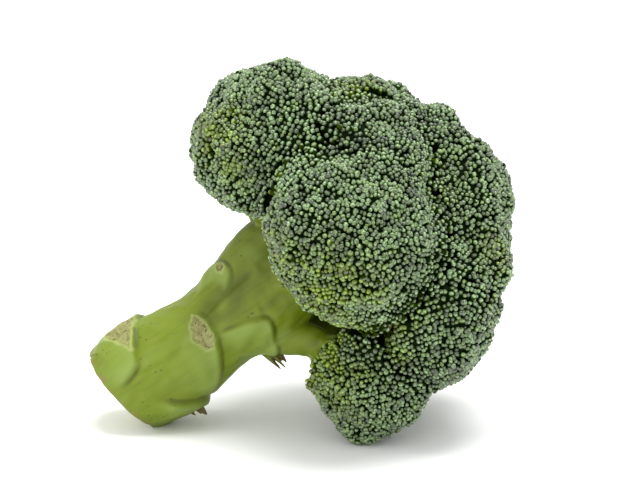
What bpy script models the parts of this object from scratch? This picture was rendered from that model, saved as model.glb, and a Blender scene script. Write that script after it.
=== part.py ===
"""A head of broccoli lying on its side: a stalk, its branches, the florets they carry and torn leaf stubs.

Everything is built upright in the frame of the head, with +Z along the stalk and the cut end at z = 0.
The head is then laid down about Y until the rim of the cut end and the lowest florets touch the table.
"""

import math

import bmesh
import bpy
import numpy as np
from mathutils import Matrix, Vector

MM = 0.001
CLEARANCE = 0.3 * MM  # between two pieces that touch

# Stalk: radius at heights above the cut end
STALK_PROFILE = (
    (0 * MM, 19.8 * MM),
    (3 * MM, 20.8 * MM),
    (14 * MM, 22.2 * MM),
    (24 * MM, 22.0 * MM),
    (36 * MM, 20.4 * MM),
    (48 * MM, 19.4 * MM),
    (60 * MM, 20.6 * MM),
    (72 * MM, 21.0 * MM),
    (84 * MM, 18.8 * MM),
    (96 * MM, 15.0 * MM),
    (106 * MM, 11.5 * MM),
    (113 * MM, 7.0 * MM),
)
STALK_SIDES = 40
STALK_RINGS_BETWEEN = 2  # extra rings between two heights of the profile
STALK_WAVE = 0.035  # share by which the leaf ridges raise the stalk's radius
STALK_RIDGES = 3
RIDGE_TWIST = math.radians(120)  # how far the ridges run round the stalk from its cut end to its top
CUT_TILT = math.radians(4)  # how far the cut end leans from square
CUT_DEPTH = 1.6 * MM  # how far the tilted cut reaches into the stalk at its centre
TRIM_ANGLE = math.radians(6)  # slope of the flat where a leaf was trimmed off
TRIM_HEIGHT = 15 * MM
TRIM_RADIUS = 21.0 * MM  # distance of that flat from the stalk's axis at its height
TRIM_TURN = math.radians(-150)  # where it lies round the stalk, from +X

# Florets: where the centre of each dome lies (side, depth, height), the dome's radius, the height on
# the stalk's axis from which its branch grows, and the branch's radius halfway
FLORETS = {
    "upper_left": ((-51.5, -3, 114.5), 32.5, 46, 11.0),
    "front": ((-7, -42, 121), 35, 52, 12.0),
    "top": ((-30, 12, 145), 25, 84, 8.5),
    "top_right": ((-9, 3, 161.5), 20.5, 100, 6.5),
    "crown": ((11.5, -4, 160.5), 26.5, 96, 8.0),
    "right": ((29, -14, 147), 26.5, 84, 8.5),
    "lower_right": ((46.5, -27, 128), 25, 64, 8.5),
    "lower": ((51, -24, 91), 25.5, 40, 9.5),
    "middle": ((-23, -17, 143), 25, 88, 7.0),
    "inner": ((47, 4, 113), 22, 56, 7.0),
    "back": ((-8, 42, 122), 34, 52, 12.0),
    "back_right": ((33, 28, 134), 30, 70, 9.5),
    "back_left": ((-40, 32, 106), 25, 50, 8.0),
    "back_lower": ((54, 25, 98), 26, 42, 9.5),
    "back_top": ((-10, 30, 150), 24, 88, 7.5),
}
# Where a branch meets its floret: the share of the way out from the axis to the dome's centre, and how
# far below the centre, as a share of the dome's radius. The lowest florets hang beside their branches.
NECK = (0.46, 0.72)
NECK_EXCEPTIONS = {
    "upper_left": (0.36, 0.74),
    "lower": (0.56, 0.40),
    "back_lower": (0.56, 0.40),
}
FLORET_SIDES = 28
FLORET_RINGS = 12
POLE_TURN = math.radians(6)  # half width of the small flat at the dome's pole
DOME_TURN = math.radians(112)  # how far round from its pole the dome runs before it draws in
# The underside's middle: its least radius, in necks, and its share of the way down
UNDERSIDE_ROUND = (0.80, 0.50)
UNDERSIDE_SWELL = 0.7  # how full the underside stays on its way in: 1 is straight, less is fuller
UNDERSIDE_ROOM = 0.98  # share of the way to the neck that the underside's middle has to stay within
NECK_COLLAR = 1.1  # radius of the underside where it meets its branch, as a share of the branch's
STEM_SIDES = 20
STEM_RINGS = 5
STEM_CLEAR_FROM = 0.35  # share of a branch, from its foot, that lies inside the stalk
CLOSEST_STEPS = 60  # steps along a branch when looking for where it passes nearest to another
STEM_TAPER = 0.16  # share by which a branch is thicker at its foot and thinner at its top

JOIN_POINTS = 0.05 * MM  # points of a cut rim closer than this become one
SHORTEST_EDGE = 0.02 * MM

SETTLE = 0.5 * MM  # how far the soft buds and the rim of the cut are pressed flat on the table

# Torn leaf stubs: height on the stalk, turn round it from +X, distance of the root from the axis,
# width, thickness, length, and how far the stub droops towards the cut end
LEAF_STUBS = {
    "low": (20, -14, 18.5, 9.5, 6.5, 8.6, 30),
    "branch": (58, -20, 20.0, 7.5, 4.5, 9.6, -8),
    "back": (33, 118, 17.6, 9.0, 5.0, 8.0, 25),
}
STUB_SIDES = 12
STUB_SECTIONS = (  # share of its length, then its width and its thickness as shares of those at the root
    (0.00, 1.00, 1.00),
    (0.35, 0.92, 0.80),
    (0.75, 0.66, 0.62),
    (1.00, 0.34, 0.40),
)
# Bracts: the two florets they stick out between, how far along the crease from the stalk side, length,
# width and thickness
BRACTS = {
    "front": ("front", "lower_right", 0.30, 10.0, 3.6, 1.0),
    "back": ("back", "back_right", 0.40, 9.0, 3.4, 1.0),
}
BRACT_SIDES = 10
BRACT_SECTIONS = (  # share of its length, then the share of its width and thickness there
    (0.00, 0.55),
    (0.25, 0.90),
    (0.55, 1.00),
    (0.80, 0.62),
    (1.00, 0.14),
)
BRACT_THINNEST = 0.3  # share of its thickness that is left at the tip
BRACT_STAND_OFF = 1.8 * MM  # how far out of the crease a bract's root lies
BRACT_CURL = 1.2 * MM  # how far its tip leans to one side

SHARP_FROM = math.radians(35)  # edges that bend more than this are shaded as edges

STALK_GREEN = (0.235, 0.335, 0.075)
BRANCH_GREEN = (0.190, 0.270, 0.055)
BUD_GREEN = (0.060, 0.110, 0.045)
STUB_BROWN = (0.220, 0.200, 0.070)
BRACT_YELLOW = (0.330, 0.400, 0.080)


def clear_scene():
    for old in list(bpy.data.objects):
        bpy.data.objects.remove(old, do_unlink=True)


def plain_material(name, colour, roughness):
    material = bpy.data.materials.new(name)
    material.use_nodes = True
    shader = material.node_tree.nodes["Principled BSDF"]
    shader.inputs["Base Color"].default_value = (*colour, 1)
    shader.inputs["Roughness"].default_value = roughness
    shader.inputs["Metallic"].default_value = 0
    return material


def piece_from(name, shape, material, head):
    """An object of the scene made from a closed bmesh, parented to the head."""
    bmesh.ops.recalc_face_normals(shape, faces=shape.faces)
    mesh = bpy.data.meshes.new(name)
    shape.to_mesh(mesh)
    shape.free()
    mesh.materials.append(material)
    mesh.shade_smooth()
    mesh.set_sharp_from_angle(angle=SHARP_FROM)
    piece = bpy.data.objects.new(name, mesh)
    piece.parent = head
    bpy.context.scene.collection.objects.link(piece)
    return piece


def cutter_from(name, shape, material, head):
    """A helper that other pieces are cut with, left out of the model itself."""
    cutter = piece_from(name, shape, material, head)
    cutter.hide_render = True
    cutter.display_type = "WIRE"
    return cutter


def clear_of(piece, envelope):
    cut = piece.modifiers.new(f"clear_of_{envelope.name}", "BOOLEAN")
    cut.operation = "DIFFERENCE"
    cut.solver = "EXACT"
    cut.object = envelope


def rings_to_shape(rings):
    """A closed bmesh through rings of points, its first and last ring capped flat."""
    shape = bmesh.new()
    loops = [[shape.verts.new(point) for point in ring] for ring in rings]
    sides = len(rings[0])
    for low, high in zip(loops, loops[1:]):
        for k in range(sides):
            after = (k + 1) % sides
            shape.faces.new((low[k], low[after], high[after], high[k]))
    shape.faces.new(reversed(loops[0]))
    shape.faces.new(loops[-1])
    return shape


def turned(profile, foot, direction, sides):
    """Rings of a profile of (radius, height) pairs turned about the line from foot along direction."""
    frame = Vector(direction).to_track_quat("Z", "Y").to_matrix()
    rings = []
    for radius, height in profile:
        ring = []
        for k in range(sides):
            turn = math.tau * k / sides
            flat = Vector((radius * math.cos(turn), radius * math.sin(turn), height))
            ring.append(Vector(foot) + frame @ flat)
        rings.append(ring)
    return rings


def keep_below(shape, point, normal):
    """Cuts away the part of a convex or turned shape on the side that the normal points to."""
    if all((corner.co - point).dot(normal) <= 0 for corner in shape.verts):
        return
    everything = [*shape.verts, *shape.edges, *shape.faces]
    cut = bmesh.ops.bisect_plane(
        shape, geom=everything, dist=1e-7, plane_co=point, plane_no=normal, clear_outer=True
    )
    rim = [part for part in cut["geom_cut"] if isinstance(part, bmesh.types.BMEdge)]
    bmesh.ops.holes_fill(shape, edges=rim, sides=0)


def tidy(shape):
    """Joins the crowded points that plane cuts leave along a rim."""
    bmesh.ops.remove_doubles(shape, verts=shape.verts, dist=JOIN_POINTS)
    bmesh.ops.dissolve_degenerate(shape, dist=SHORTEST_EDGE, edges=shape.edges)
    bmesh.ops.triangulate(shape, faces=[face for face in shape.faces if len(face.verts) > 4])


class Floret:
    """Where one floret and its branch lie, in the frame of the head."""

    def __init__(self, name, centre, radius, leaves_at, stem_radius):
        self.name = name
        self.centre = Vector(centre) * MM
        self.radius = radius * MM
        self.stem_radius = stem_radius * MM
        self.foot = Vector((0, 0, leaves_at * MM))
        self.reach, self.drop = NECK_EXCEPTIONS.get(name, NECK)
        self.aim()

    def aim(self):
        """Works out the neck, where the branch ends, and the way from it to the dome's centre."""
        flat = self.centre * self.reach
        self.neck = Vector((flat.x, flat.y, self.centre.z - self.drop * self.radius))
        self.heading = (self.centre - self.neck).normalized()
        self.depth = (self.centre - self.neck).length


def floret_shape(floret):
    """A dome of buds that draws in below to the top of its branch."""
    profile = []
    for k in range(FLORET_RINGS):
        turn = POLE_TURN + (DOME_TURN - POLE_TURN) * k / (FLORET_RINGS - 1)
        profile.append((floret.radius * math.sin(turn), floret.radius * math.cos(turn)))
    least_share, share_down = UNDERSIDE_ROUND
    neck_radius = floret.stem_radius * NECK_COLLAR
    lowest_dome = profile[-1][1]
    middle_height = lowest_dome - (floret.depth + lowest_dome) * share_down
    middle_radius = neck_radius + (profile[-1][0] - neck_radius) * (1 - share_down) ** UNDERSIDE_SWELL
    if -middle_height < floret.depth * UNDERSIDE_ROOM and floret.depth > -lowest_dome:
        profile.append((max(middle_radius, neck_radius * least_share), middle_height))
        profile.append((neck_radius, -floret.depth))
    profile.reverse()
    return rings_to_shape(turned(profile, floret.centre, floret.heading, FLORET_SIDES))


def stem_shape(floret, grow=0.0):
    """A straight tapering branch from the stalk's axis to the floret's neck."""
    run = floret.neck - floret.foot
    thick = floret.stem_radius * (1 + STEM_TAPER) + grow
    thin = floret.stem_radius * (1 - STEM_TAPER) + grow
    length = run.length + floret.stem_radius
    shares = [k / (STEM_RINGS - 1) for k in range(STEM_RINGS)]
    profile = [(thick + (thin - thick) * share, length * share) for share in shares]
    return rings_to_shape(turned(profile, floret.foot, run, STEM_SIDES))


def stalk_radius_at(height):
    heights = [pair[0] for pair in STALK_PROFILE]
    radii = [pair[1] for pair in STALK_PROFILE]
    return float(np.interp(height, heights, radii))


def stalk_shape(grow=0.0):
    """The turned stalk, with three low ridges that run a third of a turn round it on the way up."""
    heights = [pair[0] for pair in STALK_PROFILE]
    levels = np.interp(
        np.arange((len(heights) - 1) * STALK_RINGS_BETWEEN + 1) / STALK_RINGS_BETWEEN,
        np.arange(len(heights)),
        heights,
    )
    rings = []
    for level in levels:
        twist = RIDGE_TWIST * level / heights[-1]
        ring = []
        for k in range(STALK_SIDES):
            turn = math.tau * k / STALK_SIDES
            wave = 1 + STALK_WAVE * math.cos(STALK_RIDGES * (turn + twist))
            radius = stalk_radius_at(level) * wave + grow
            ring.append(Vector((radius * math.cos(turn), radius * math.sin(turn), level)))
        rings.append(ring)
    rings[-1] = [point + Vector((0, 0, grow)) for point in rings[-1]]
    shape = rings_to_shape(rings)
    cut_normal = Vector((math.sin(CUT_TILT), 0, -math.cos(CUT_TILT)))
    keep_below(shape, Vector((0, 0, CUT_DEPTH - grow)), cut_normal)
    out = Vector((math.cos(TRIM_TURN), math.sin(TRIM_TURN), 0))
    trim_normal = (out * math.cos(TRIM_ANGLE) - Vector((0, 0, math.sin(TRIM_ANGLE)))).normalized()
    keep_below(shape, out * (TRIM_RADIUS + grow) + Vector((0, 0, TRIM_HEIGHT)), trim_normal)
    return shape


def nearest_points(a0, a1, b0, b1):
    """The two points, one on each of two straight segments, that lie closest together."""
    best = None
    for k in range(CLOSEST_STEPS + 1):
        on_a = a0.lerp(a1, k / CLOSEST_STEPS)
        along = b1 - b0
        share = min(max((on_a - b0).dot(along) / along.length_squared, 0), 1)
        on_b = b0 + along * share
        if best is None or (on_a - on_b).length < (best[0] - best[1]).length:
            best = (on_a, on_b)
    return best


def part_between(one, other, point, normal):
    """Cuts two shapes clear of each other along a plane whose normal points from one to the other."""
    keep_below(one, point - normal * CLEARANCE / 2, normal)
    keep_below(other, point + normal * CLEARANCE / 2, -normal)


def part_domes(one, other, dome_a, dome_b):
    """Two domes meet on the plane through the circle where their spheres cross."""
    apart = dome_b.centre - dome_a.centre
    distance = apart.length
    share = (distance**2 + dome_a.radius**2 - dome_b.radius**2) / (2 * distance**2)
    part_between(one, other, dome_a.centre + apart * share, apart / distance)


def part_lines(one, other, line_a, line_b, thick_a, thick_b):
    """Two rods part on the plane square to the shortest line between them, shared out by thickness."""
    on_a, on_b = nearest_points(*line_a, *line_b)
    apart = on_b - on_a
    if apart.length < CLEARANCE:
        return
    point = on_a.lerp(on_b, thick_a / (thick_a + thick_b))
    part_between(one, other, point, apart.normalized())


def branch_line(floret):
    """The part of a branch that stands clear of the stalk's axis."""
    return floret.foot.lerp(floret.neck, STEM_CLEAR_FROM), floret.neck


def part_everything(florets, domes, stems):
    for i, first in enumerate(florets):
        for second in florets[i + 1 :]:
            part_domes(domes[first.name], domes[second.name], first, second)
            part_lines(
                stems[first.name],
                stems[second.name],
                branch_line(first),
                branch_line(second),
                first.stem_radius,
                second.stem_radius,
            )
    for mine in florets:
        keep_below(stems[mine.name], mine.neck - mine.heading * CLEARANCE, mine.heading)
        for other in florets:
            if mine is not other:
                part_lines(
                    stems[mine.name],
                    domes[other.name],
                    branch_line(mine),
                    (other.neck, other.centre),
                    mine.stem_radius,
                    other.radius,
                )


def stub_shape(height, turn, root, width, thickness, length, droop):
    """A short torn end of a leaf stalk: a flattened wedge that narrows and thins outwards."""
    turn = math.radians(turn)
    out = Vector((math.cos(turn), math.sin(turn), 0))
    across = Vector((-math.sin(turn), math.cos(turn), 0))
    lean = math.radians(droop)
    along = out * math.cos(lean) - Vector((0, 0, math.sin(lean)))
    up = along.cross(across)
    start = out * root * MM + Vector((0, 0, height * MM))
    rings = []
    for share, wide, thick in STUB_SECTIONS:
        middle = start + along * length * share * MM
        ring = []
        for k in range(STUB_SIDES):
            around = math.tau * k / STUB_SIDES
            ring.append(
                middle
                + across * math.cos(around) * width / 2 * wide * MM
                + up * math.sin(around) * thickness / 2 * thick * MM
            )
        rings.append(ring)
    return rings_to_shape(rings)


def crease_between(first, second, along):
    """A point on the rim where two domes meet, and the direction that leads out of the crease there."""
    apart = second.centre - first.centre
    distance = apart.length
    share = (distance**2 + first.radius**2 - second.radius**2) / (2 * distance**2)
    middle = first.centre + apart * share
    rim_radius = math.sqrt(max(first.radius**2 - (share * distance) ** 2, 0))
    down = Vector((0, 0, -1))
    axis = apart / distance
    down = (down - axis * down.dot(axis)).normalized()
    outward = Vector((middle.x, middle.y, 0))
    outward = (outward - axis * outward.dot(axis)).normalized()
    out = (outward * math.cos(along * math.pi / 2) + down * math.sin(along * math.pi / 2)).normalized()
    return middle + out * rim_radius, out, axis


def bract_shape(florets, one, other, along, length, width, thickness):
    """A narrow pointed leaf standing in the crease between two domes, its flat faces to the domes."""
    first = next(floret for floret in florets if floret.name == one)
    second = next(floret for floret in florets if floret.name == other)
    root, out, axis = crease_between(first, second, along)
    across = out.cross(axis)
    rings = []
    for share, wide in BRACT_SECTIONS:
        middle = root + out * (BRACT_STAND_OFF + length * share * MM) + axis * (share**2) * BRACT_CURL
        ring = []
        for k in range(BRACT_SIDES):
            around = math.tau * k / BRACT_SIDES
            ring.append(
                middle
                + across * math.cos(around) * width / 2 * wide * MM
                + axis * math.sin(around) * thickness / 2 * max(wide, BRACT_THINNEST) * MM
            )
        rings.append(ring)
    return rings_to_shape(rings)


def lay_angle(rim, floret):
    """The slope of the stalk when the rim of its cut end and one floret's dome both touch the table."""
    run = math.hypot(floret.centre.x - rim.x, floret.centre.z - rim.z)
    to_centre = math.atan2(floret.centre.x - rim.x, floret.centre.z - rim.z)
    return to_centre + math.asin(floret.radius / run)


def set_down(floret, rim, slope):
    """Shifts a floret sideways until its dome touches the same table as the rim."""
    side = rim.x + ((floret.centre.z - rim.z) * math.sin(slope) - floret.radius) / math.cos(slope)
    floret.centre.x = side
    floret.aim()


def press_on_table(shape, rim, slope):
    """Flattens a shape a little where it rests, on the table's plane in the frame of the head."""
    up = Vector((-math.cos(slope), 0, math.sin(slope)))
    keep_below(shape, rim + up * SETTLE, -up)


def build():
    clear_scene()
    head = bpy.data.objects.new("broccoli_head", None)
    bpy.context.scene.collection.objects.link(head)

    florets = [Floret(name, *values) for name, values in FLORETS.items()]
    by_name = {floret.name: floret for floret in florets}
    rim = Vector((stalk_radius_at(CUT_DEPTH), 0, CUT_DEPTH))
    slope = lay_angle(rim, by_name["lower"])
    set_down(by_name["back_lower"], rim, slope)

    domes = {floret.name: floret_shape(floret) for floret in florets}
    stems = {floret.name: stem_shape(floret) for floret in florets}
    part_everything(florets, domes, stems)

    stalk_skin = plain_material("stalk_skin", STALK_GREEN, 0.45)
    branch_skin = plain_material("branch_skin", BRANCH_GREEN, 0.45)
    buds = plain_material("flower_buds", BUD_GREEN, 0.6)
    dry_leaf = plain_material("dry_leaf", STUB_BROWN, 0.7)
    bract_leaf = plain_material("bract_leaf", BRACT_YELLOW, 0.5)

    stalk = stalk_shape()
    press_on_table(stalk, rim, slope)
    pieces = [piece_from("main_stalk", stalk, stalk_skin, head)]
    envelope = cutter_from("stalk_envelope", stalk_shape(CLEARANCE), stalk_skin, head)

    for floret in florets:
        dome = domes[floret.name]
        press_on_table(dome, rim, slope)
        tidy(dome)
        pieces.append(piece_from(f"floret_{floret.name}", dome, buds, head))
        stem = stems[floret.name]
        tidy(stem)
        pieces.append(piece_from(f"stem_{floret.name}", stem, branch_skin, head))
        for piece in pieces[-2:]:
            clear_of(piece, envelope)
    for name, values in LEAF_STUBS.items():
        stub = piece_from(f"leaf_stub_{name}", stub_shape(*values), dry_leaf, head)
        clear_of(stub, envelope)
        if name == "branch":
            branch = stem_shape(by_name["lower"], CLEARANCE)
            clear_of(stub, cutter_from("branch_envelope", branch, branch_skin, head))
        pieces.append(stub)
    for name, values in BRACTS.items():
        pieces.append(piece_from(f"bract_{name}", bract_shape(florets, *values), bract_leaf, head))

    head.matrix_world = Matrix.Rotation(math.pi / 2 - slope, 4, "Y")
    stand_at_origin(head, pieces)


def stand_at_origin(head, pieces):
    """Moves the head so that the middle of its box stands at the origin, its lowest point on z = 0."""
    bpy.context.view_layer.update()
    graph = bpy.context.evaluated_depsgraph_get()
    corners = []
    for piece in pieces:
        evaluated = piece.evaluated_get(graph)
        corners.extend(evaluated.matrix_world @ vertex.co for vertex in evaluated.data.vertices)
    low = Vector([min(corner[k] for corner in corners) for k in range(3)])
    high = Vector([max(corner[k] for corner in corners) for k in range(3)])
    head.location = -Vector(((low.x + high.x) / 2, (low.y + high.y) / 2, low.z))


build()
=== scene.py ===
"""The looks of a head of broccoli: a waxy stalk with its leaf scars, and florets of thousands of buds."""

import math

import bmesh
import bpy
import numpy as np
from bpy.props import FloatProperty, FloatVectorProperty, PointerProperty
from mathutils import Matrix, Vector
from mathutils.kdtree import KDTree


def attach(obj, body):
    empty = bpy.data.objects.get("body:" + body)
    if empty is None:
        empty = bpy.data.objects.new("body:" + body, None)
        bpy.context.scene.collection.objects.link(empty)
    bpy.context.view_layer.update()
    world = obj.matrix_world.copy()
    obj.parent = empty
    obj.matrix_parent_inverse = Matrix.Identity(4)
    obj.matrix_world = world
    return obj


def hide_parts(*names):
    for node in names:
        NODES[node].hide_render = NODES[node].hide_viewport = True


bl_info = {
    "name": "Broccoli head",
    "version": (1, 0, 0),
    "blender": (4, 5, 0),
    "location": "3D View > Sidebar > Broccoli",
    "description": "Grows a head of broccoli, with its buds and stalk, over a plain model of it",
    "category": "Object",
}

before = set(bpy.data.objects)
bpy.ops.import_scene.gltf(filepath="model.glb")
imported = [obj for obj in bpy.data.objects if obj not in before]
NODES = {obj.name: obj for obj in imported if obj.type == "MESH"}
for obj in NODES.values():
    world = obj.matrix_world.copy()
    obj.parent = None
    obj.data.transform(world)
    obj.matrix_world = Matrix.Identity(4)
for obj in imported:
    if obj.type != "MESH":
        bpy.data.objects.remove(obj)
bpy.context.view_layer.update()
BODY = "root"
MM = 0.001

STALK_NODE = "main_stalk"
FLORET_PREFIX = "floret_"
STEM_PREFIX = "stem_"
FLORET_NAMES = sorted(name[len(FLORET_PREFIX):] for name in NODES if name.startswith(FLORET_PREFIX))
ROUGH_SLOPE = math.radians(35)  # about how steeply the stalk rises from the table
CAP_DEPTH = 0.5 * MM  # corners this near the stalk's far end belong to its flat cap


# ---- Reading the model ----------------------------------------------------------------------------


def numbers_of(items, name, width=1, kind=np.float32):
    """One array of a named value of all of a mesh's corners, loops or faces."""
    flat = np.empty(len(items) * width, kind)
    items.foreach_get(name, flat)
    return flat.reshape(-1, width) if width > 1 else flat


def points_of(mesh):
    return numbers_of(mesh.vertices, "co", 3).astype(float)


def unit(vectors):
    return vectors / np.maximum(np.linalg.norm(vectors, axis=-1, keepdims=True), 1e-12)


def fitted_sphere(points):
    """Centre and radius of the sphere that most of the points lie on."""
    kept = points
    for tolerance in (4 * MM, 2 * MM, 1 * MM, 0.5 * MM, 0.25 * MM):
        rows = np.column_stack([2 * kept, np.ones(len(kept))])
        solved = np.linalg.lstsq(rows, (kept**2).sum(axis=1), rcond=None)[0]
        centre = solved[:3]
        radius = math.sqrt(solved[3] + centre @ centre)
        off = np.abs(np.linalg.norm(points - centre, axis=1) - radius)
        kept = points[off < max(tolerance, np.sort(off)[len(points) // 3])]
    return centre, radius


class HeadFrame:
    """The head's own axes: +Z along the stalk from the cut end, -Y to the front, +X to the underside."""

    def __init__(self):
        stalk = points_of(NODES[STALK_NODE].data)
        rise = stalk @ np.array([math.cos(ROUGH_SLOPE), 0, math.sin(ROUGH_SLOPE)])
        cap = stalk[rise > rise.max() - CAP_DEPTH]
        square_to_cap = np.linalg.svd(cap - cap.mean(axis=0))[2][2]
        self.slope = math.atan(square_to_cap[2] / square_to_cap[0])
        self.axes = np.array(Matrix.Rotation(math.pi / 2 - self.slope, 3, "Y"))
        upright = stalk @ self.axes
        middle = upright[upright[:, 2] > upright[:, 2].max() - CAP_DEPTH].mean(axis=0)
        self.origin = self.axes @ np.array([middle[0], middle[1], upright[:, 2].min()])

    def to_head(self, points):
        return (np.asarray(points) - self.origin) @ self.axes

    def to_world(self, points):
        return np.asarray(points) @ self.axes.T + self.origin

    def turn_to_world(self, directions):
        return np.asarray(directions) @ self.axes.T


HEAD = HeadFrame()


class Floret:
    """One floret's dome and the branch that carries it, read from the model."""

    def __init__(self, name, number):
        self.name = name
        self.node = FLORET_PREFIX + name
        self.stem_node = STEM_PREFIX + name
        self.number = number
        self.centre, self.radius = fitted_sphere(points_of(NODES[self.node].data))
        stem = points_of(NODES[self.stem_node].data)
        order = np.argsort(np.linalg.norm(stem - self.centre, axis=1))
        end = max(6, len(order) // 6)  # how many of the stem's corners stand for one of its ends
        self.neck = stem[order[:end]].mean(axis=0)
        self.foot = stem[order[-end:]].mean(axis=0)
        along = unit(self.neck - self.foot)
        aside = stem - self.neck
        aside = aside - np.outer(aside @ along, along)
        self.stem_radius = float(np.median(np.linalg.norm(aside, axis=1)))
        self.heading = unit(self.centre - self.neck)


FLORETS = [Floret(name, k) for k, name in enumerate(FLORET_NAMES)]


# ---- Settings -------------------------------------------------------------------------------------


def colour_setting(name, description, default):
    return FloatVectorProperty(
        name=name, description=description, subtype="COLOR", size=3, min=0, max=1, default=default
    )


def length_setting(name, description, default):
    return FloatProperty(
        name=name, description=description, default=default, min=0.0001, unit="LENGTH", precision=4
    )


class BudSettings(bpy.types.PropertyGroup):
    """Sizes and colours of the flower buds"""

    spacing: length_setting("Bud spacing", "Distance between neighbouring buds", 2.08 * MM)
    length: length_setting("Bud length", "Length of a bud from its foot to its tip", 3.35 * MM)
    width: length_setting("Bud width", "Width of a bud at its middle", 2.3 * MM)
    cluster: length_setting("Cluster spacing", "Distance between the small domes of buds", 13.5 * MM)
    cluster_rise: length_setting("Cluster rise", "How far a small dome stands out of its floret", 2.1 * MM)
    # The shoulder colour is real wax bloom with a painted highlight; the side colour is painted shade.
    tip: colour_setting("Bud shoulder", "Colour of the wax bloom on a bud's shoulders", (0.240, 0.360, 0.165))
    side: colour_setting("Bud side", "Colour of a bud's shaded sides", (0.0060, 0.0200, 0.0008))
    young: colour_setting("Young bud", "Colour of the yellow-green buds at the edges", (0.205, 0.310, 0.014))
    # Between buds is painted shade: a near-black colour that stands in for the shade in the gaps between
    # buds.
    deep: colour_setting("Between buds", "Colour of the tissue under the buds", (0.0035, 0.0095, 0.0010))


class StalkSettings(bpy.types.PropertyGroup):
    """Sizes and colours of the stalk and its branches"""

    grain: length_setting("Mesh grain", "Size of the stalk's mesh cells", 0.75 * MM)
    skin: colour_setting("Skin", "Main colour of the stalk's skin", (0.170, 0.235, 0.0060))
    # Skin in creases is painted shade: it darkens the creases, grooves, the hollow between branches and the
    # skin under the crown.
    shade: colour_setting("Skin in creases", "Colour of the skin where branches meet", (0.066, 0.080, 0.004))
    bloom: colour_setting("Leaf base bloom", "Pale wax on the cushions under scars", (0.245, 0.335, 0.075))
    flesh: colour_setting("Cut flesh", "Colour of the cut face of the stalk", (0.40, 0.43, 0.20))
    scar: colour_setting("Leaf scar", "Colour of a dried leaf scar", (0.215, 0.205, 0.070))


class StageSettings(bpy.types.PropertyGroup):
    """The table, the lights and the camera"""

    table: colour_setting("Table", "Colour of the table", (0.98, 0.98, 0.98))
    key: FloatProperty(name="Key light", description="Strength of the broad light overhead", default=2.45)
    side_light: FloatProperty(
        name="Side lights", description="Power of each of the two soft lights", default=0.8, unit="POWER"
    )
    room: FloatProperty(name="Room light", description="Strength of the light from all round", default=1.08)


# ---- Patterns in space ----------------------------------------------------------------------------


def waves(points, wavelength, seed, count=7):
    """A smooth pattern between about -1 and 1 that wanders over the given distance."""
    rng = np.random.default_rng(seed)
    directions = unit(rng.normal(size=(count, 3)))
    rates = math.tau / wavelength * rng.uniform(0.6, 1.5, count)
    shifts = rng.uniform(0, math.tau, count)
    return np.sin(points @ (directions * rates[:, None]).T + shifts).sum(axis=1) / math.sqrt(count / 2)


def smooth(low, high, values):
    share = np.clip((values - low) / (high - low), 0, 1)
    return share * share * (3 - 2 * share)


def spiral_directions(count):
    """Directions spread evenly over a ball by the golden angle, as a head of florets sets its buds."""
    steps = np.arange(count) + 0.5
    heights = 1 - 2 * steps / count
    turns = steps * math.pi * (3 - math.sqrt(5))
    flat = np.sqrt(1 - heights**2)
    return np.column_stack([flat * np.cos(turns), flat * np.sin(turns), heights])


def nearness(points, place_at, size):
    """One at a place given in the head's frame in millimetres, falling off over its size."""
    away = np.linalg.norm(points - HEAD.to_world(np.array(place_at) * MM), axis=1) / (size * MM)
    return np.exp(-(away**2))


def dome(away):
    """Height of a small dome, from one at its middle to nought at its edge, where away is one."""
    return (1 - np.minimum(away, 1) ** 2) ** 1.4


def side_axes(directions):
    """Two directions square to each given one and to each other."""
    helper = np.where(np.abs(directions[:, 2:3]) < 0.9, [[0.0, 0.0, 1.0]], [[1.0, 0.0, 0.0]])
    first = unit(np.cross(helper, directions))
    return first, np.cross(directions, first)


def turned_to(heading):
    """The matrix that takes +Z to a heading."""
    return np.array(Vector(heading).to_track_quat("Z", "Y").to_matrix())


# ---- Meshes ---------------------------------------------------------------------------------------


def write_marks(mesh, marks):
    """Stores one value a corner for each mark, for the materials to read."""
    for name, values in marks.items():
        layer = mesh.attributes.new(name, "FLOAT", "POINT")
        layer.data.foreach_set("value", np.asarray(values, np.float32))


def mesh_from(name, corners, faces, marks=None, smooth_faces=True, flat=None):
    """A mesh from arrays: faces are one array or a list of arrays, and flat is each corner's map place."""
    groups = faces if isinstance(faces, list) else [faces]
    groups = [np.asarray(group, np.int32) for group in groups if len(group)]
    mesh = bpy.data.meshes.new(name)
    loops = np.concatenate([group.reshape(-1) for group in groups])
    sizes = np.concatenate([np.full(len(group), group.shape[1]) for group in groups])
    starts = np.concatenate([[0], np.cumsum(sizes)[:-1]])
    mesh.vertices.add(len(corners))
    mesh.vertices.foreach_set("co", np.asarray(corners, np.float32).reshape(-1))
    mesh.loops.add(len(loops))
    mesh.loops.foreach_set("vertex_index", loops.astype(np.int32))
    mesh.polygons.add(len(sizes))
    mesh.polygons.foreach_set("loop_start", starts.astype(np.int32))
    mesh.update(calc_edges=True)
    mesh.validate()
    write_marks(mesh, marks or {})
    if flat is not None:
        mapped = mesh.uv_layers.new(name="OFBake")
        mapped.data.foreach_set("uv", np.asarray(flat, np.float32)[loops].reshape(-1))
    mesh.polygons.foreach_set("use_smooth", np.full(len(mesh.polygons), smooth_faces))
    return mesh


def place(mesh, materials, replaced):
    """Puts a mesh in the scene as a finished piece of the head."""
    for material in materials:
        mesh.materials.append(material)
    piece = bpy.data.objects.new(mesh.name, mesh)
    bpy.context.scene.collection.objects.link(piece)
    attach(piece, BODY)
    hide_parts(*replaced)


def keep_above_table(corners, height):
    """Lifts every corner that would lie lower than a height above the table."""
    corners[..., 2] = np.maximum(corners[..., 2], height)


def ring_quads(rings, sides):
    """Quads between neighbouring rings of corners."""
    level, k = np.divmod(np.arange((rings - 1) * sides), sides)
    low, after = level * sides, (k + 1) % sides
    return np.column_stack([low + k, low + after, low + sides + after, low + sides + k])


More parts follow.
